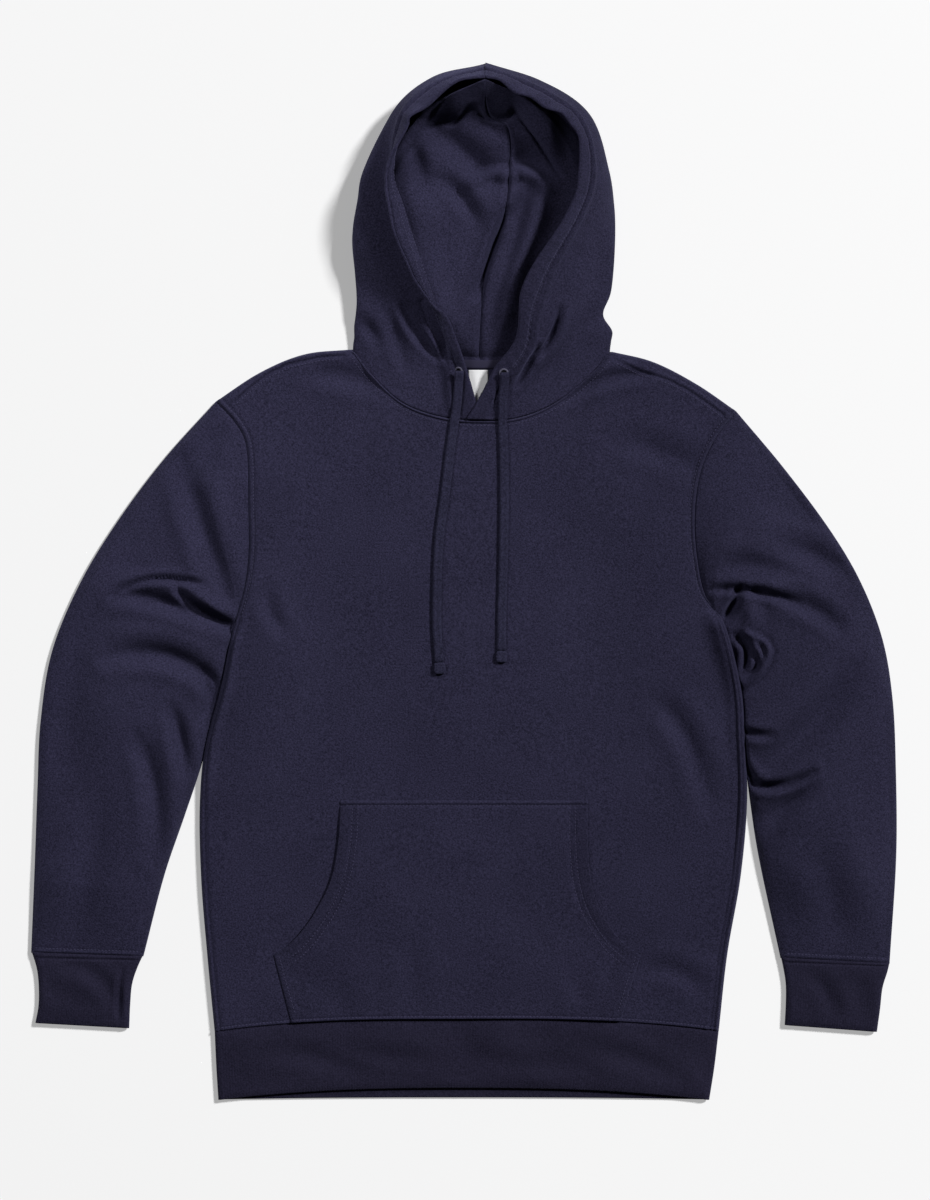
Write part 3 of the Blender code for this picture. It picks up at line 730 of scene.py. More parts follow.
HOOD_LEFT = table(
    HOOD_COLUMNS,
    (23, 188, 15.5, 42, 184, 12, 139, 234, 16, 131, 236, 16, 222),
    (45, 224, 24, 64, 216, 20, 131, 252, 24, 124, 254, 16, 245),
    (51, 256, 34, 71, 247, 29, 139, 275, 26, 128, 277, 18, 283),
    (67, 300, 44, 87, 294, 37, 142, 313, 27, 130, 314, 25, 321),
    (95, 343, 51, 114, 347, 44, 142, 355, 27, 131, 356, 32, 359),
    (107, 389, 55, 123, 386, 46, 136, 390, 28, 124, 388, 33, 397),
    (98, 425, 56, 110, 434, 44, 116, 438, 27, 105, 428, 30, 421),
    (62, 452, 55, 68, 465, 42, 71, 471, 26, 65, 459, 24, 442),
    (18, 471, 52, 20, 483, 38, 21, 487, 24, 20, 474, 21, 459),
)
HOOD_KNOTS = (0, 0.10, 0.42, 0.56, 1)
HOOD_WIDE = 250                     # from the mouth round to the seam over the head
CASING = 0.066                      # share of that at which the casing is sewn down
# The mouth's edge, by share of the way up: it waves, and rolls outwards on the wearer's right
RIM_RIGHT = table(
    "up    x     y     z",
    (0.00, 17, 154.4, 6.6),
    (0.11, 2, 204, 15),
    (0.19, -7, 229, 24),
    (0.26, -16.5, 250, 31),
    (0.30, -26, 259, 35),
    (0.345, -37, 270.5, 40),
    (0.40, -47, 284, 44),
    (0.444, -55.5, 300.5, 49),
    (0.485, -62, 313.5, 51),
    (0.52, -67.5, 328, 53),
    (0.556, -71, 347, 55),
    (0.60, -74, 365.5, 56),
    (0.64, -73, 382, 57),
    (0.68, -68.5, 398, 57),
    (0.715, -61, 409, 57),
    (0.755, -51.5, 426, 57),
    (0.775, -50.5, 433, 57.5),
    (0.81, -35, 442, 56),
    (0.83, -30, 446, 56),
    (0.88, -14, 461, 56),
    (0.92, -3, 468, 55),
    (0.96, 7, 470, 54),
    (1.00, 20, 471, 52.5),
)
RIM_LEFT = table(
    "up    x     y     z",
    (0.00, 3, 155, 9.8),
    (0.03, 8, 163.5, 10.8),
    (0.06, 14.5, 175, 11.8),
    (0.085, 19.5, 184, 13),
    (0.12, 28, 201, 16.5),
    (0.15, 34.5, 210, 19),
    (0.185, 44, 221, 23),
    (0.222, 50, 233, 27),
    (0.29, 52, 256, 34),
    (0.335, 53, 269.5, 38),
    (0.38, 57.5, 283, 42),
    (0.425, 66.5, 299, 46),
    (0.49, 80.5, 319, 50),
    (0.53, 90, 333, 52),
    (0.565, 99, 349.5, 53.5),
    (0.60, 105.5, 365.5, 54.5),
    (0.645, 107.5, 384, 55),
    (0.69, 108.5, 403, 55.5),
    (0.73, 106.5, 418.5, 56),
    (0.76, 99, 428, 56),
    (0.80, 90, 438, 56),
    (0.83, 76, 442, 55.5),
    (0.87, 62, 452, 55.5),
    (0.90, 48, 456, 55),
    (0.945, 34, 468, 54),
    (1.00, 20, 471, 52.5),
)
# The seam over the head as it lies inside: it wanders, and a pleat near the crown shifts it
CENTRE = table(
    "up    x     y",
    (0.00, 16, 211.3),
    (0.11, 15, 222),
    (0.22, 16, 245),
    (0.33, 19, 283),
    (0.42, 25, 312),
    (0.50, 35, 336),
    (0.556, 41, 359),
    (0.667, 43.5, 397),
    (0.778, 44, 421),
    (0.82, 40, 433),
    (0.86, 26, 440),
    (0.90, 22, 446),
    (1.00, 20.5, 459),
)
# Folds of the hood: on the layer that lies over and on the layer inside, below
OVER_FOLDS = table(
    FOLD_COLUMNS,
    (92, 258, 86, 236, 73, 214, 3.2, 7.0, 0.9),
    (72, 221, 63, 206, 52, 187, 3.2, 7.0, 0.9),
    (-57, 261, -45, 237, -25, 214, 4, 5.0, 0.5),
    (-70, 250, -62, 228, -52, 200, 6, 3.0, 0.4),
    (-37, 264, -23, 234, -15, 212, 3.5, 6.5, 0.4),
    (-95, 248, -88, 240, -80, 228, 6, 3.0, 0.3),
    (-92, 334, -74, 296, -46, 262, 14, -5.0, 0),
    (-15, 206, -13, 188, -13, 166, 5, -3.6, 0),
    (120, 262, 128, 290, 126, 330, 12, 1.6, 0.5),
    (104, 226, 112, 244, 122, 258, 8, 1.8, 0.4),
)
INSIDE_FOLDS = table(
    FOLD_COLUMNS,
    (-34, 437, 3, 411, 28, 386, 13, 9.5, 0.9),
    (-45, 414, -42, 396, -34, 372, 7, 5.5, 0.6),
    (-16, 380, 2, 362, 13, 338, 7, 6.0, 0.6),
    (63, 371, 55, 357, 45, 338, 6, 6.5, 0.5),
    (6, 376, 26, 386, 44, 384, 5, -4.5, 0),
    (44, 402, 60, 404, 76, 392, 10, 8.0, 0.4),
    (42, 384, 62, 386, 80, 373, 6, -5.0, 0),
    (80, 366, 56, 304, 36, 226, 9, -8.0, 0.6),
    (42, 350, 28, 314, 13, 270, 4.5, 8.5, 0.9),
    (-30, 330, -22, 296, -12, 250, 10, 3.5, 0.3),
)
# Where the back wall of the crown meets the layer that lies below it: it hangs over in scallops
CROWN = table(
    "x     y    crease rise",
    (-60, 412, 420, 30),
    (-31, 432, 434, 34),
    (-8, 438, 436, 36),
    (3, 440, 445, 36),
    (13, 441, 446, 36),
    (20, 441, 440, 36),
    (40, 441, 439, 36),
    (49, 440, 445, 32),
    (57, 434, 435, 26),
    (70, 417, 417, 18),
    (83, 398, 398, 12),
)


def outward(sheet, hand):
    """Unit normals of rows of points, away from the hollow; straight down where the cloth lies flat."""
    normal = hand * np.cross(np.gradient(sheet, axis=1), np.gradient(sheet, axis=0))
    normal[:, -1, 0] = 0
    normal[-1, :, 0] = 0
    normal[sheet[..., 2] < 0.05] = (0, 0, -1)
    return normal / np.maximum(np.linalg.norm(normal, axis=2, keepdims=True), 1e-12)


def neck_curve(across, hand):
    """The hood's sewn edge: along the front neck, round the neck point and along the back neck."""
    end = NECK_RIGHT if hand < 0 else NECK_LEFT
    start = 0.512 if hand < 0 else 0.483
    middle = (NECK_RIGHT + NECK_LEFT) / 2
    turn = HOOD_KNOTS[2]
    front_share = start + (end - start) * across[across <= turn] / turn
    back_share = end + (middle - end) * (across[across > turn] - turn) / (1 - turn)
    over = shifted(curve(NECK_FRONT, front_share), hand * 0.4)
    under = shifted(curve(NECK_BACK, back_share), -hand * 0.4)
    under[-1, 0] = 16
    over_z = MID + MID * soft_edge(np.abs(front_share - end) * BODY_WIDE, 8)
    under_z = MID - MID * soft_edge(np.abs(back_share - end) * BODY_WIDE, 7)
    over_z -= 1.2 * (over_z - MID) / MID
    if hand > 0:
        over_z += 4.6 * np.clip(1 - across[across <= turn] / 0.16, 0, 1)
    return np.concatenate([np.column_stack([over, over_z]), np.column_stack([under, under_z])])


def hood_sheet(rows, rim, hand, across, up):
    """Half the hood before its folds: sections from neck to crown, drawn to the rim and the seam inside."""
    sections = [neck_curve(across, hand)]
    for k in range(len(rows["rim_x"])):
        row = {c: a[k] for c, a in rows.items()}
        sections.append(through(HOOD_KNOTS, [
            (row["rim_x"], row["rim_y"], row["rim_z"]),
            (row["hem_x"], row["hem_y"], row["hem_z"]),
            (row["side_x"], row["side_y"], row["side_z"] * 0.55),
            (row["floor_x"], row["floor_y"], 0),
            (row["centre_x"], row["centre_y"], 0),
        ], across))
    sheet = through(np.linspace(0, 1, len(sections)), np.array(sections), up)
    wave = curve(rim, up) - sheet[:, 0]
    sheet += wave[:, None] * (np.clip(1 - across / 0.11, 0, 1) ** 1.5)[None, :, None]
    drift = curve(CENTRE, up) - sheet[:, -1, :2]
    sheet[..., :2] += drift[:, None] * (ramp(across - 0.56, 0.44) ** 2)[None, :, None]
    sheet[:, -1, 0] -= hand * 0.3
    sheet[-1, :, 0] -= hand * 0.3
    sheet[..., 2] = np.maximum(sheet[..., 2], 0)
    return sheet


def hood_relief(x, y, across, up, seed):
    """How far cloth stands out from its sheet: the casing's roll and puckers, and the upper layer's folds."""
    from_rim, from_casing = HOOD_WIDE * across, HOOD_WIDE * (across - CASING)
    bulge = 1.1 * np.sin(math.pi * ramp(across, CASING)) ** 0.6 - 1.4 * (1 - soft_edge(from_rim, 3))
    bulge += 1.2 * groove(from_casing - 7, 4) - 1.3 * groove(from_casing, 1.5)
    pucker = np.sin(up * 2 * math.pi * 38 + 2 * np.sin(up * 23))[:, None] * groove(from_rim - 16, 8) * 0.35
    folds = folded(x, y, OVER_FOLDS) + uneven(x, y, 90, seed) * 1.5 * ramp(across, 0.2)
    return (bulge + pucker + folds * ramp(0.5 - across, 0.1)) * ramp(up, 0.03)[:, None]


def inside_lift(x, y, rows, hand):
    """How high the layer inside the hood stands: its folds, the crown's back wall and the roll at the rim."""
    lift = folded(x, y, INSIDE_FOLDS) + 14
    wall_y, crease_y, rise = np.moveaxis(curve(CROWN, x), -1, 0)
    between = (x > -62) * ramp(98 - x, 16)
    lift += rise * ramp(y - wall_y, 26) ** 0.8 * between
    lift -= 8 * groove(y - crease_y + 1, 3) * between * np.clip(x / 12 + 1.6, 0, 1)
    lift += 22 * ramp(0.8 * (y - 436) - x - 34, 16)
    if hand < 0:
        roll_x = np.interp(y, rows["hem_y"], rows["hem_x"])
        lift += 11 * groove(x - roll_x - 4, 20) * ramp(430 - y, 40)
    return lift + uneven(x, y, 75, 33) * 2.4


def hood_wall(across, up, lift):
    """Thickness of the panel: doubled in the casing, dented at its seams, and raised inside by the lift."""
    from_rim, from_casing = HOOD_WIDE * across, HOOD_WIDE * (across - CASING)
    turned_in = 1 / (1 + np.exp((across - CASING - 0.004) / 0.0025))
    wall = WALL + 2.0 * turned_in * soft_edge(from_rim, 3)
    wall -= 1.5 * groove(from_rim - 4, 1.0) + 0.7 * groove(from_casing, 1.2)
    wall += 0.9 * groove((1 - across) ** 2, 0.03**2) - 4.2 * groove(1 - across, 0.007)
    return wall + np.maximum(lift, 0.4) * ramp(across - 0.54, 0.12) * ramp(up - 0.03, 0.22)[:, None]


def hood_side(name, node, rows, rim, hand, seed):
    """Half the hood: from the mouth's rim, over the widest place, under to the seam over the head.

    Returns the panel and the lines of its casing's stitches, on both faces, with their normals."""
    across = np.concatenate([
        np.linspace(0, 0.012, 4),
        np.linspace(0.012, 0.105, 26)[1:],
        np.linspace(0.105, 0.56, 48)[1:],
        np.linspace(0.56, 0.985, 40)[1:],
        [0.993, 1.0],
    ])
    up = np.concatenate([np.linspace(0, 0.02, 5), np.linspace(0.02, 1, 138)[1:]])
    sheet = hood_sheet(rows, rim, hand, across, up)
    relief = hood_relief(sheet[..., 0], sheet[..., 1], across, up, seed)
    sheet = sheet + outward(sheet, hand) * relief[..., None]
    wall = hood_wall(across, up, inside_lift(sheet[..., 0], sheet[..., 1], rows, hand))
    deepest = float(wall.max())
    piece = laid_grid(name, sheet, (260, 360), FLEECE, deepest, flip=hand < 0, thick=wall / deepest)
    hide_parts(node)
    normal = outward(sheet, hand)
    lines = []
    for share in (CASING - 0.008, CASING + 0.003):
        row = slice(24, -2), int(np.argmin(np.abs(across - share)))
        lines.append((sheet[row], normal[row]))
        lines.append((sheet[row] - normal[row] * wall[row][:, None], -normal[row]))
    return piece, lines


hood_right, rows_right = hood_side("hood_right_panel", "hood_right", HOOD_RIGHT, RIM_RIGHT, -1, 31)
hood_left, rows_left = hood_side("hood_left_panel", "hood_left", HOOD_LEFT, RIM_LEFT, 1, 32)
casing_rows = bmesh.new()
for points, normals in rows_right + rows_left:
    sewn(casing_rows, points, normals)
casing_stitches = as_piece("casing_stitches", casing_rows, THREAD_WITH_PAINTED_HIGHLIGHT)


# ---------------------------------------------------------------- eyelets
# Two buttonhole-stitched eyelets, about 10 mm across, in the casing's outer layer. The drawcord comes out
# of them. Each hole is a flat dark disc of painted shade, and the eyelets' thread is lightened as painted
# glint.

# Painted shade: a near-black disc stands for the shade inside each eyelet's hole. Painted glint: the eyelet
# thread is lighter than the navy thread.
PAINTED_EYELET_SHADE = thread("hole_dark", (0.003, 0.003, 0.005))
EYELET_THREAD_PAINTED_GLINT = thread("eyelet_thread", (0.150, 0.145, 0.210))
EYELET_STITCHES = 26


def stitched_eyelet(node, panel):
    """A ring of close stitches in thread lightened as painted glint, laid on the cloth round a dark disc of
    painted shade where the hole is.
    """
    low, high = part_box(node)
    spot, normal = cloth_below(surface_of(panel), *[(low[k] + high[k]) / 2 / MM for k in range(2)])
    turn = Matrix.Translation(spot + normal * 0.3) @ normal.to_track_quat("Z", "Y").to_matrix().to_4x4()
    turn = Matrix.Scale(MM, 4) @ turn
    mesh = bmesh.new()
    for k in range(EYELET_STITCHES):
        about = Matrix.Rotation(2 * math.pi * k / EYELET_STITCHES, 4, "Z") @ Matrix.Translation((3.7, 0, 0))
        stitch = turn @ about @ Matrix.Diagonal((1.15, 0.5, 0.75, 1))
        bmesh.ops.create_icosphere(mesh, subdivisions=1, radius=1, matrix=stitch)
    ring = as_piece("stitched_" + node, mesh, EYELET_THREAD_PAINTED_GLINT)
    mesh = bmesh.new()
    # Painted shade: a dark disc where the hole is
    bmesh.ops.create_circle(mesh, cap_ends=True, segments=20, radius=3.2, matrix=turn)
    hole = as_piece("hole_" + node, mesh, PAINTED_EYELET_SHADE)
    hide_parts(node)


stitched_eyelet("eyelet_right", hood_right)
stitched_eyelet("eyelet_left", hood_left)


# ---------------------------------------------------------------- neck tape and label
# A twill tape covers the back neck seam inside. A blank white satin label hangs from it.

def ribbed_band(name, light, dark, pitch, slant):
    """Woven tape: fine slanting ribs in two shades."""
    cloth = Cloth(name, 0.05)
    spot = cloth.where()
    split = cloth.node("ShaderNodeSeparateXYZ", {}, {0: spot})
    along, up = (Yarn(cloth, split.outputs[k]) for k in range(2))
    turn = along * (2 * math.pi / pitch) + up * (slant / pitch)
    rib = Yarn(cloth, cloth.node("ShaderNodeMath", {"operation": "SINE"}, {0: turn}).outputs[0])
    fuzz = cloth.noise(spot, 700.0)
    share = rib * 0.3 + fuzz * 0.4 + 0.3
    return cloth.finish(cloth.mixed(share, dark, light), fuzz * 0.2 + 0.55, rib * 0.5 + fuzz * 0.5, 0.12 * MM)


TAPE = ribbed_band("twill_tape", (0.034, 0.031, 0.064), (0.012, 0.011, 0.024), 1.6 * MM, 6.0)
LABEL = ribbed_band("label_satin", (0.86, 0.86, 0.87), (0.78, 0.78, 0.80), 0.7 * MM, 0.0)

TAPE_WIDE = 8.5
tape_middle = curve(NECK_BACK, np.linspace(0.31, 0.71, 90))
tape_across = np.linspace(-0.5, 0.5, 8)
tape_rows = np.stack([shifted(tape_middle, 0.6 + TAPE_WIDE * (a - 0.5)) for a in tape_across], axis=1)
tape_z = np.tile(2.9 - 0.5 * np.abs(2 * tape_across) ** 6, (len(tape_middle), 1))
tape = laid_grid("back_neck_tape", np.dstack([tape_rows, tape_z]), (TAPE_WIDE, 200), TAPE, 0.7, flip=True)
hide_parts("neck_tape")

label_x, label_y = np.meshgrid(np.linspace(4.9, 23.1, 20), np.linspace(202, 166.5, 40))
label_z = 2.7 + 0.25 * np.sin((label_y - 166) * 0.12) + 0.15 * np.sin(label_x * 0.26)
label = laid_grid("blank_neck_label", np.dstack([label_x, label_y, label_z]), (18, 36), LABEL, 0.4)
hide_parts("neck_label")


# ---------------------------------------------------------------- sleeves
# Set-in sleeves of the same fleece, sewn under the arm and laid flat beside the body. The cloth bunches in
# bent folds below the armpits.

TUBE_COLUMNS = "w     outer_x outer_y inner_x inner_y"
SLEEVE_RIGHT = table(
    TUBE_COLUMNS,
    (0.00, -235, 172, -220, -47),
    (0.12, -283.5, 118, -220.2, -55),
    (0.24, -327, 60, -223.2, -69),
    (0.36, -363, 1, -228.2, -93),
    (0.48, -390, -64, -237, -129),
    (0.60, -401, -130, -248.5, -173),
    (0.72, -404, -192, -264.5, -221),
    (0.84, -406.5, -263, -283, -275),
    (1.00, -410, -350.5, -303.5, -354),
)
SLEEVE_LEFT = table(
    TUBE_COLUMNS,
    (0.00, 259, 162.5, 246, -35),
    (0.12, 304.5, 108, 247, -43),
    (0.24, 348, 49.5, 251, -58),
    (0.36, 377, 0, 257.5, -84),
    (0.48, 397.5, -54, 263, -120),
    (0.60, 407, -111, 266.5, -163),
    (0.72, 410, -176, 271.5, -206),
    (0.84, 410.5, -254, 279.5, -258),
    (1.00, 404, -361, 300.5, -355.5),
)
FOLDS_RIGHT = table(
    FOLD_COLUMNS,
    (-320, -5, -290, 4, -244, -1, 3.2, 6.5, 0.6),
    (-326, -10, -272, -20, -204, -50, 7.5, 8.0, 0.8),
    (-270, -3, -248, -24, -206, -46, 4.5, 7.0, 0.9),
    (-332, -66, -274, -68, -228, -100, 10, 8.0, 0.9),
    (-244, -86, -240, -104, -242, -128, 6, 6.0, 0.5),
    (-273, -120, -267, -146, -262, -176, 7, 7.0, 0.7),
    (-304, -148, -290, -200, -290, -256, 9, 6.5, 0.6),
    (-222, 150, -239, 131, -246, 110, 10, 4.5, 0.3),
    (-262, 112, -245, 50, -216, -24, 11, 8.0, 0.4),
    (-350, -40, -372, -110, -372, -190, 20, 4.5, 0.3),
    (-340, -215, -352, -270, -362, -320, 15, 4.0, 0.3),
)
FOLDS_LEFT = table(
    FOLD_COLUMNS,
    (245, 16, 280, 18, 318, 10, 9, 4.5, 0.5),
    (292, 37, 325, 30, 362, 12, 10, 5.5, 0.5),
    (236, -5, 275, -7, 314, -18, 4.2, 6.0, 0.9),
    (300, -12, 330, -23, 356, -42, 8, 6.0, 0.5),
    (262, -6, 256, -18, 246, -36, 4, 8.0, 0.6),
    (263, -12, 270, -26, 268, -46, 8, -5.0, 0),
    (259, -50, 269, -64, 265, -84, 4, 9.0, 0.7),
    (266, -48, 288, -66, 266, -98, 2.6, -4.5, 0),
    (270, -62, 277, -76, 266, -90, 3, 6.0, 0.5),
    (367, -92, 329, -140, 282, -178, 14, 8.5, 0.7),
    (256, -140, 262, -168, 276, -186, 4, 8.0, 0.7),
    (270, -188, 296, -191, 328, -178, 4.5, 8.5, 0.8),
    (262, -140, 276, -143, 290, -143, 4, 6.0, 0.3),
    (286, -228, 303, -211, 322, -195, 9, 6.0, 0.4),
    (330, -250, 350, -290, 352, -340, 16, 4.0, 0.3),
    (300, 90, 330, 40, 352, -10, 20, 3.5, 0.3),
)


def tube_points(rows, along, across, first, lift, turn, extra, rise=(0, 0), pit=0):
    """Rows of points round a flattened tube: over the top from its outer to its inner edge, and back below.

    first is the curve of its first opening, or None where that is straight. extra adds height on the top.
    rise bows the far edge, over and below. pit lifts the underside in the armpit, where the seams meet."""
    outer_edge = curve(rows, along, "outer_x", "outer_y")
    inner_edge = curve(rows, along, "inner_x", "inner_y")
    qq, ww = np.meshgrid(across, along)
    ends = (outer_edge[0], inner_edge[0]), (outer_edge[-1], inner_edge[-1])
    start, end = ((1 - across)[:, None] * e[0] + across[:, None] * e[1] for e in ends)
    plan = quad_patch(start if first is None else first, end, outer_edge, inner_edge, qq, ww)
    width = np.linalg.norm(inner_edge - outer_edge, axis=1)[:, None]
    if first is not None:
        width = np.maximum(width, (ARMHOLE * np.clip(1 - along / 0.1, 0, 1))[:, None])
    near, far = qq * width, (1 - qq) * width
    top = MID + MID * soft_edge(near, turn) * soft_edge(far, turn)
    fade = ramp(np.minimum(near, far), 7)
    top += lift * np.sin(math.pi * qq) ** 0.8 * ramp(np.minimum(ww, 1 - ww), 0.12)
    top += extra(plan[..., 0], plan[..., 1], ww) * fade
    low = MID - MID * soft_edge(near, 7) * soft_edge(far, 7)
    low = np.maximum(low, pit * np.clip(2.6 - ww / 0.1, 0, 1) * ramp(qq - 0.7, 0.12))
    bow = (1 - np.abs(2 * qq - 1) ** 2.5) * ww
    over, under = plan.copy(), plan.copy()
    over[..., 1] += rise[0] * bow
    under[..., 1] += rise[1] * bow
    over = np.dstack([over, np.maximum(top, low + 2.4 * fade)])
    under = np.dstack([under, low])
    return np.concatenate([over, under[:, -2::-1]], axis=1)


def joined_to(first, rows):
    """A tube's table with its first corners moved to the ends of the curve it is sewn to."""
    rows = {name: values.copy() for name, values in rows.items()}
    for edge, place in (("outer", first[0]), ("inner", first[-1])):
        rows[edge + "_x"][0], rows[edge + "_y"][0] = place
    return rows


def sleeve(name, node, rows, hand, folds, seed):
    """A sleeve whose opening follows the body's armhole."""
    across = edged(190, 2.5)
    long = 470
    along = edged(long, 2.8)
    armhole = side_edges(1 - across * (1 - PIT))[hand > 0]
    first = shifted(armhole, -hand * 0.7)

    def height(x, y, ww):
        inner = ramp(np.minimum(ww, 1 - ww) * long, 25)
        waves = uneven(x, y, 110, seed) * 1.6 + folded(x, y, folds)
        return waves * inner - 1.1 * groove(ww * long, 1.3) + 0.6 * stitched_edge((1 - ww) * long * 1.3)

    skin = tube_points(joined_to(first, rows), along, across, first, 10, 14, height, pit=2)
    piece = laid_grid(name, skin, (380, long), FLEECE, WALL, ring=True, flip=hand < 0)
    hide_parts(node)
    return piece


sleeve_right = sleeve("right_sleeve", "sleeve_right", SLEEVE_RIGHT, -1, FOLDS_RIGHT, 11)
sleeve_left = sleeve("left_sleeve", "sleeve_left", SLEEVE_LEFT, 1, FOLDS_LEFT, 12)


# ---------------------------------------------------------------- cuffs and waistband
# Tubes of 1x1 rib folded double, sewn on with the fold outwards. The rib is darker and closer than the
# fleece.

CUFF_RIGHT = table(
    TUBE_COLUMNS,
    (0.00, -409.5, -349.6, -304, -353.2),
    (0.18, -405, -364, -309, -364),
    (0.40, -403, -379, -314, -379),
    (0.70, -403, -400, -316, -399),
    (1.00, -406, -417, -317, -422),
)
CUFF_LEFT = table(
    TUBE_COLUMNS,
    (0.00, 404, -360, 301, -354.6),
    (0.18, 402, -368.5, 303.5, -366.5),
    (0.40, 397.5, -383, 305.5, -380),
    (0.70, 395, -404, 305.5, -400),
    (1.00, 392, -425.5, 304.5, -419),
)
WAISTBAND = table(
    TUBE_COLUMNS,
    (0.00, -236, -426, 242, -425.5),
    (0.50, -234.5, -458, 238, -458),
    (1.00, -232.5, -490, 233, -490),
)
RIB_WALL = 2.2
RIB_PITCH = 2.6
RIB = brushed_knit("rib", (0.0265, 0.0238, 0.0505), (0.0050, 0.0042, 0.0122), 0.07, speckle=1.6)
CUFF_WIDE, WAIST_WIDE = 96, 475
RIB_FOLDS = table(
    FOLD_COLUMNS,
    (-376, -360, -346, -373, -327, -404, 7, 2.4, 0.3),
    (-396, -380, -372, -392, -350, -396, 8, 1.2, 0.2),
    (-323, -366, -326, -390, -326, -414, 3, 2.0, 0.4),
    (330, -372, 344, -388, 352, -410, 7, 1.8, 0.3),
    (372, -374, 378, -392, 376, -412, 8, 1.4, 0.2),
    (-196, -446, -150, -450, -96, -466, 9, 1.8, 0.4),
    (-120, -438, -76, -452, -30, -456, 8, 1.5, 0.3),
    (10, -452, 60, -462, 118, -458, 9, 1.5, 0.3),
    (110, -440, 156, -452, 204, -470, 9, 1.8, 0.4),
)


def rib_steps(width):
    return np.linspace(0, 1, round(width / RIB_PITCH * 4) + 1)


def rib_tube(name, node, rows, width, seed, first=None, rise=(0, 0), flip=False):
    """A flat tube of rib, with its ridges running down it. A cuff has a second line of sewing."""
    second, sewn_in = (1.4, 0.5) if first is None else (0, 1.2)
    long = 66
    across = rib_steps(width)
    along = edged(long, 4.0, 7, 1.1)

    def height(x, y, ww):
        ribs = np.cos(across * width / RIB_PITCH * 2 * math.pi)[None, :] * 0.09
        inner = ramp(np.minimum(ww, 1 - ww) * long, 12)
        waves = (uneven(x, y, 60, seed) + folded(x, y, RIB_FOLDS)) * inner
        waves -= second * (groove(ww * long - 4.6, 0.9) - 0.6 * groove(ww * long - 2.4, 1.2))
        return ribs + waves - (sewn_in * groove(ww * long, 1.8) + 0.9 * groove((1 - ww) * long, 2.4))

    skin = tube_points(rows, along, across, first, 0.8, 6, height, rise)
    piece = laid_grid(name, skin, (2 * width, long), RIB, RIB_WALL, ring=True, flip=flip)
    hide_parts(node)


rib_tube("right_cuff", "cuff_right", CUFF_RIGHT, CUFF_WIDE, 5, flip=True)
rib_tube("left_cuff", "cuff_left", CUFF_LEFT, CUFF_WIDE, 6)
band_top = hem_edge(rib_steps(WAIST_WIDE)) + (0, 0.7)
rib_tube("waist_rib", "waistband", joined_to(band_top, WAISTBAND), WAIST_WIDE, 7,
         band_top, (HEM_RISE, 2), flip=True)


# ---------------------------------------------------------------- pocket
# One patch of fleece for both hands. Its top, lower sides and hem are sewn to the front; the two slanting
# openings have a wide hem sewn twice.

POCKET = table(
    "down  right_x left_x",
    (206, -116.5, 118),
    (244, -118.5, 117.5),
    (282, -126, 121),
    (306, -137.5, 128),
    (325, -150, 139),
    (341, -165, 152.5),
    (351.5, -180, 168),
    (382, -171.5, 158),
    (412, -163, 149),
)
POCKET_FOLDS = table(
    FOLD_COLUMNS,
    (-53, -344, -46, -368, -49, -401, 10, 1.3, 0.4),
    (-113, -378, -115, -394, -117, -408, 11, 1.2, 0.3),
    (106, -368, 111, -384, 115, -400, 10, 1.2, 0.3),
    (-90, -240, -60, -262, -20, -268, 24, 0.9, 0),
    (30, -300, 62, -322, 80, -350, 22, 0.9, 0.3),
)
POCKET_TOP, POCKET_LOW, POCKET_HIGH = -206, -412, 206
OPENING_ENDS = -351.5               # y where an opening ends at the lower side
HEM_ROWS = (11.5, 17)               # from the opening's edge to the two rows that sew its hem


def pocket_edges(y):
    """The pocket's two edges: a curve down each opening and a straighter one below it."""
    opening, side = ({c: a[part] for c, a in POCKET.items()} for part in (slice(0, 7), slice(6, 9)))
    return np.where(y > OPENING_ENDS, *(curve(part, -y).T for part in (opening, side)))


pocket_y = POCKET_TOP - edged(POCKET_HIGH, 3) * POCKET_HIGH
pocket_across = edged(290, 3, 20, 1.1)
right_x, left_x = pocket_edges(pocket_y)
pocket_x = right_x[:, None] + pocket_across[None] * (left_x - right_x)[:, None]
hem_right, hem_left = SIDES["right_x"][0], SIDES["left_x"][0]
hem_x = np.linspace(hem_right, hem_left, 60)
hem_y = through(hem_x, hem_edge((hem_x - hem_right) / (hem_left - hem_right))[:, 1], pocket_x[-1])
edge_gap = np.minimum(pocket_x - right_x[:, None], left_x[:, None] - pocket_x)
top_gap = POCKET_TOP - pocket_y[:, None]
low_gap = pocket_y[:, None] - POCKET_LOW
pocket_plan_y = pocket_y[:, None] + (top_gap / POCKET_HIGH) ** 4 * (hem_y - POCKET_LOW + 0.5)
opening = ramp(pocket_y[:, None] - OPENING_ENDS, 12) * ramp(top_gap, 25)
base = np.zeros_like(pocket_x)
for (i, j), x in np.ndenumerate(pocket_x):
    base[i, j] = cloth_below(front_faces, x, pocket_plan_y[i, j])[0].z
puff = ramp(edge_gap, 60) * ramp(np.minimum(top_gap, low_gap), 45)
pocket_z = base + 1.7 + 2.2 * puff + folded(pocket_x, pocket_plan_y, POCKET_FOLDS)
pocket_z += uneven(pocket_x, pocket_plan_y, 120, 21) * 0.7 * ramp(edge_gap, 25)
pocket_z += opening * (0.9 * groove(edge_gap, 12) - 0.5 * groove(edge_gap - 14, 4))
pocket_z -= 0.9 * groove(edge_gap, 1.6) * (1 - opening) + 0.9 * groove(top_gap, 1.6)
pocket_z += stitched_edge(low_gap * 1.6) - 1.2 * groove(top_gap - 4.5, 1.2) + 0.7 * groove(top_gap - 2, 1.5)
for inset in HEM_ROWS:
    pocket_z -= 0.5 * groove(edge_gap - inset, 1.1) * opening
pocket_skin = np.dstack([pocket_x, pocket_plan_y, pocket_z])
pocket = laid_grid("pocket_patch", pocket_skin, (340, POCKET_HIGH), FLEECE, WALL, flip=True)
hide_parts("pocket")

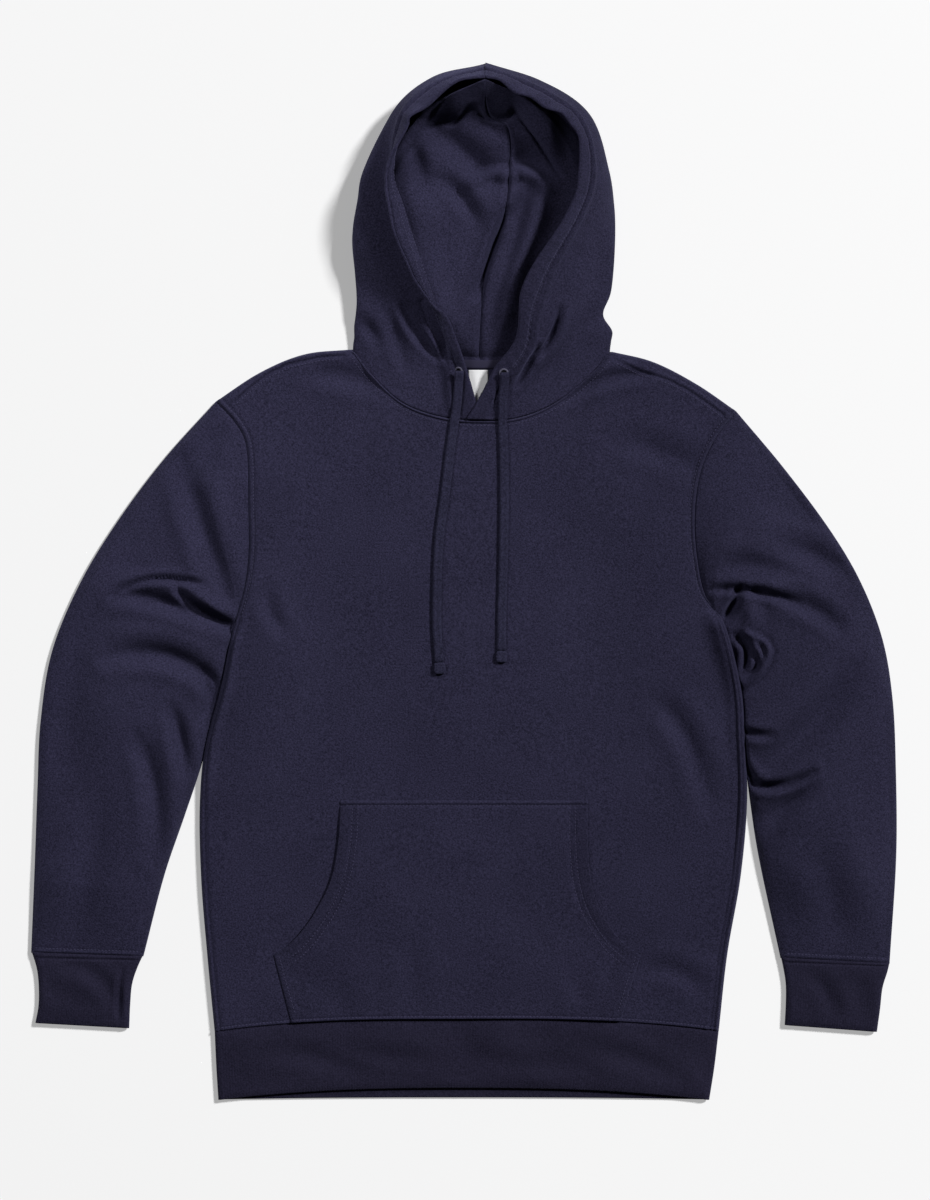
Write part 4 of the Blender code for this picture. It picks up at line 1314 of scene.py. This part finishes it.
opening_y = np.linspace(-212, -346, 50)
opening_right, opening_left = pocket_edges(opening_y)
side_y = np.linspace(-353, -409, 24)
side_right, side_left = pocket_edges(side_y)
hem_lines = []
for inset in HEM_ROWS:
    hem_lines.append(shifted(np.column_stack([opening_right, opening_y]), inset))
    hem_lines.append(shifted(np.column_stack([opening_left, opening_y]), -inset))
pocket_top = np.column_stack([np.linspace(-112, 113.5, 60), np.full(60, -210.5)])
seam("pocket_topstitching", hem_lines + [
    pocket_top,
    np.column_stack([side_right + 4.5, side_y]),
    np.column_stack([side_left - 4.5, side_y]),
    shifted(hem_edge(np.linspace(0.16, 0.84, 110)), 3.3),
], surface_of(pocket))
cuff_lines = []
for rows in (CUFF_RIGHT, CUFF_LEFT):
    seam_ends = [places(rows, edge + "_x", edge + "_y")[0] for edge in ("outer", "inner")]
    cuff_lines.append(np.linspace(*seam_ends, 40)[1:-1] + (0, 4))
seam("cuff_topstitching", cuff_lines, surface_of(sleeve_right, sleeve_left))


# ---------------------------------------------------------------- floor and light
# The garment lies on a plain pale surface under soft light from its upper right.

plane = bmesh.new()
bmesh.ops.create_grid(plane, x_segments=1, y_segments=1, size=3)
bmesh.ops.translate(plane, vec=(0, 0, -0.2 * MM), verts=plane.verts)
floor_data = bpy.data.meshes.new("floor")
plane.to_mesh(floor_data)
plane.free()
floor = bpy.data.objects.new("floor", floor_data)
bpy.context.scene.collection.objects.link(floor)
paper = bpy.data.materials.new("paper")
paper.use_nodes = True
for socket, value in (
    ("Base Color", (0.8, 0.8, 0.803, 1)),
    ("Roughness", 0.95),
    ("Specular IOR Level", 0.0),
    ("Emission Color", (1, 1, 1, 1)),
    ("Emission Strength", 0.36),
):
    paper.node_tree.nodes["Principled BSDF"].inputs[socket].default_value = value
floor_data.materials.append(paper)

world = bpy.data.worlds.new("studio")
world.use_nodes = True
world.node_tree.nodes["Background"].inputs["Color"].default_value = (1, 1, 1, 1)
world.node_tree.nodes["Background"].inputs["Strength"].default_value = 0.045
bpy.context.scene.world = world


def softbox(name, place, target, size, watts):
    lamp = bpy.data.lights.new(name, "AREA")
    lamp.shape = "DISK"
    lamp.size = size
    lamp.energy = watts
    stand = bpy.data.objects.new(name, lamp)
    stand.location = place
    stand.rotation_euler = (Vector(target) - Vector(place)).to_track_quat("-Z", "Y").to_euler()
    stand.visible_camera = False
    bpy.context.scene.collection.objects.link(stand)
    return stand


softbox("key", (15.0, 10.8, 14.7), (0, 0, 0), 3.3, 5850)
fill = softbox("fill", (-0.56, 0.62, 0.82), (-0.1, 0.12, 0), 0.35, 5.0)
unlit = bpy.data.collections.new("unlit_by_fill")
unlit.objects.link(floor)
fill.light_linking.receiver_collection = unlit
unlit.collection_objects[0].light_linking.link_state = "EXCLUDE"
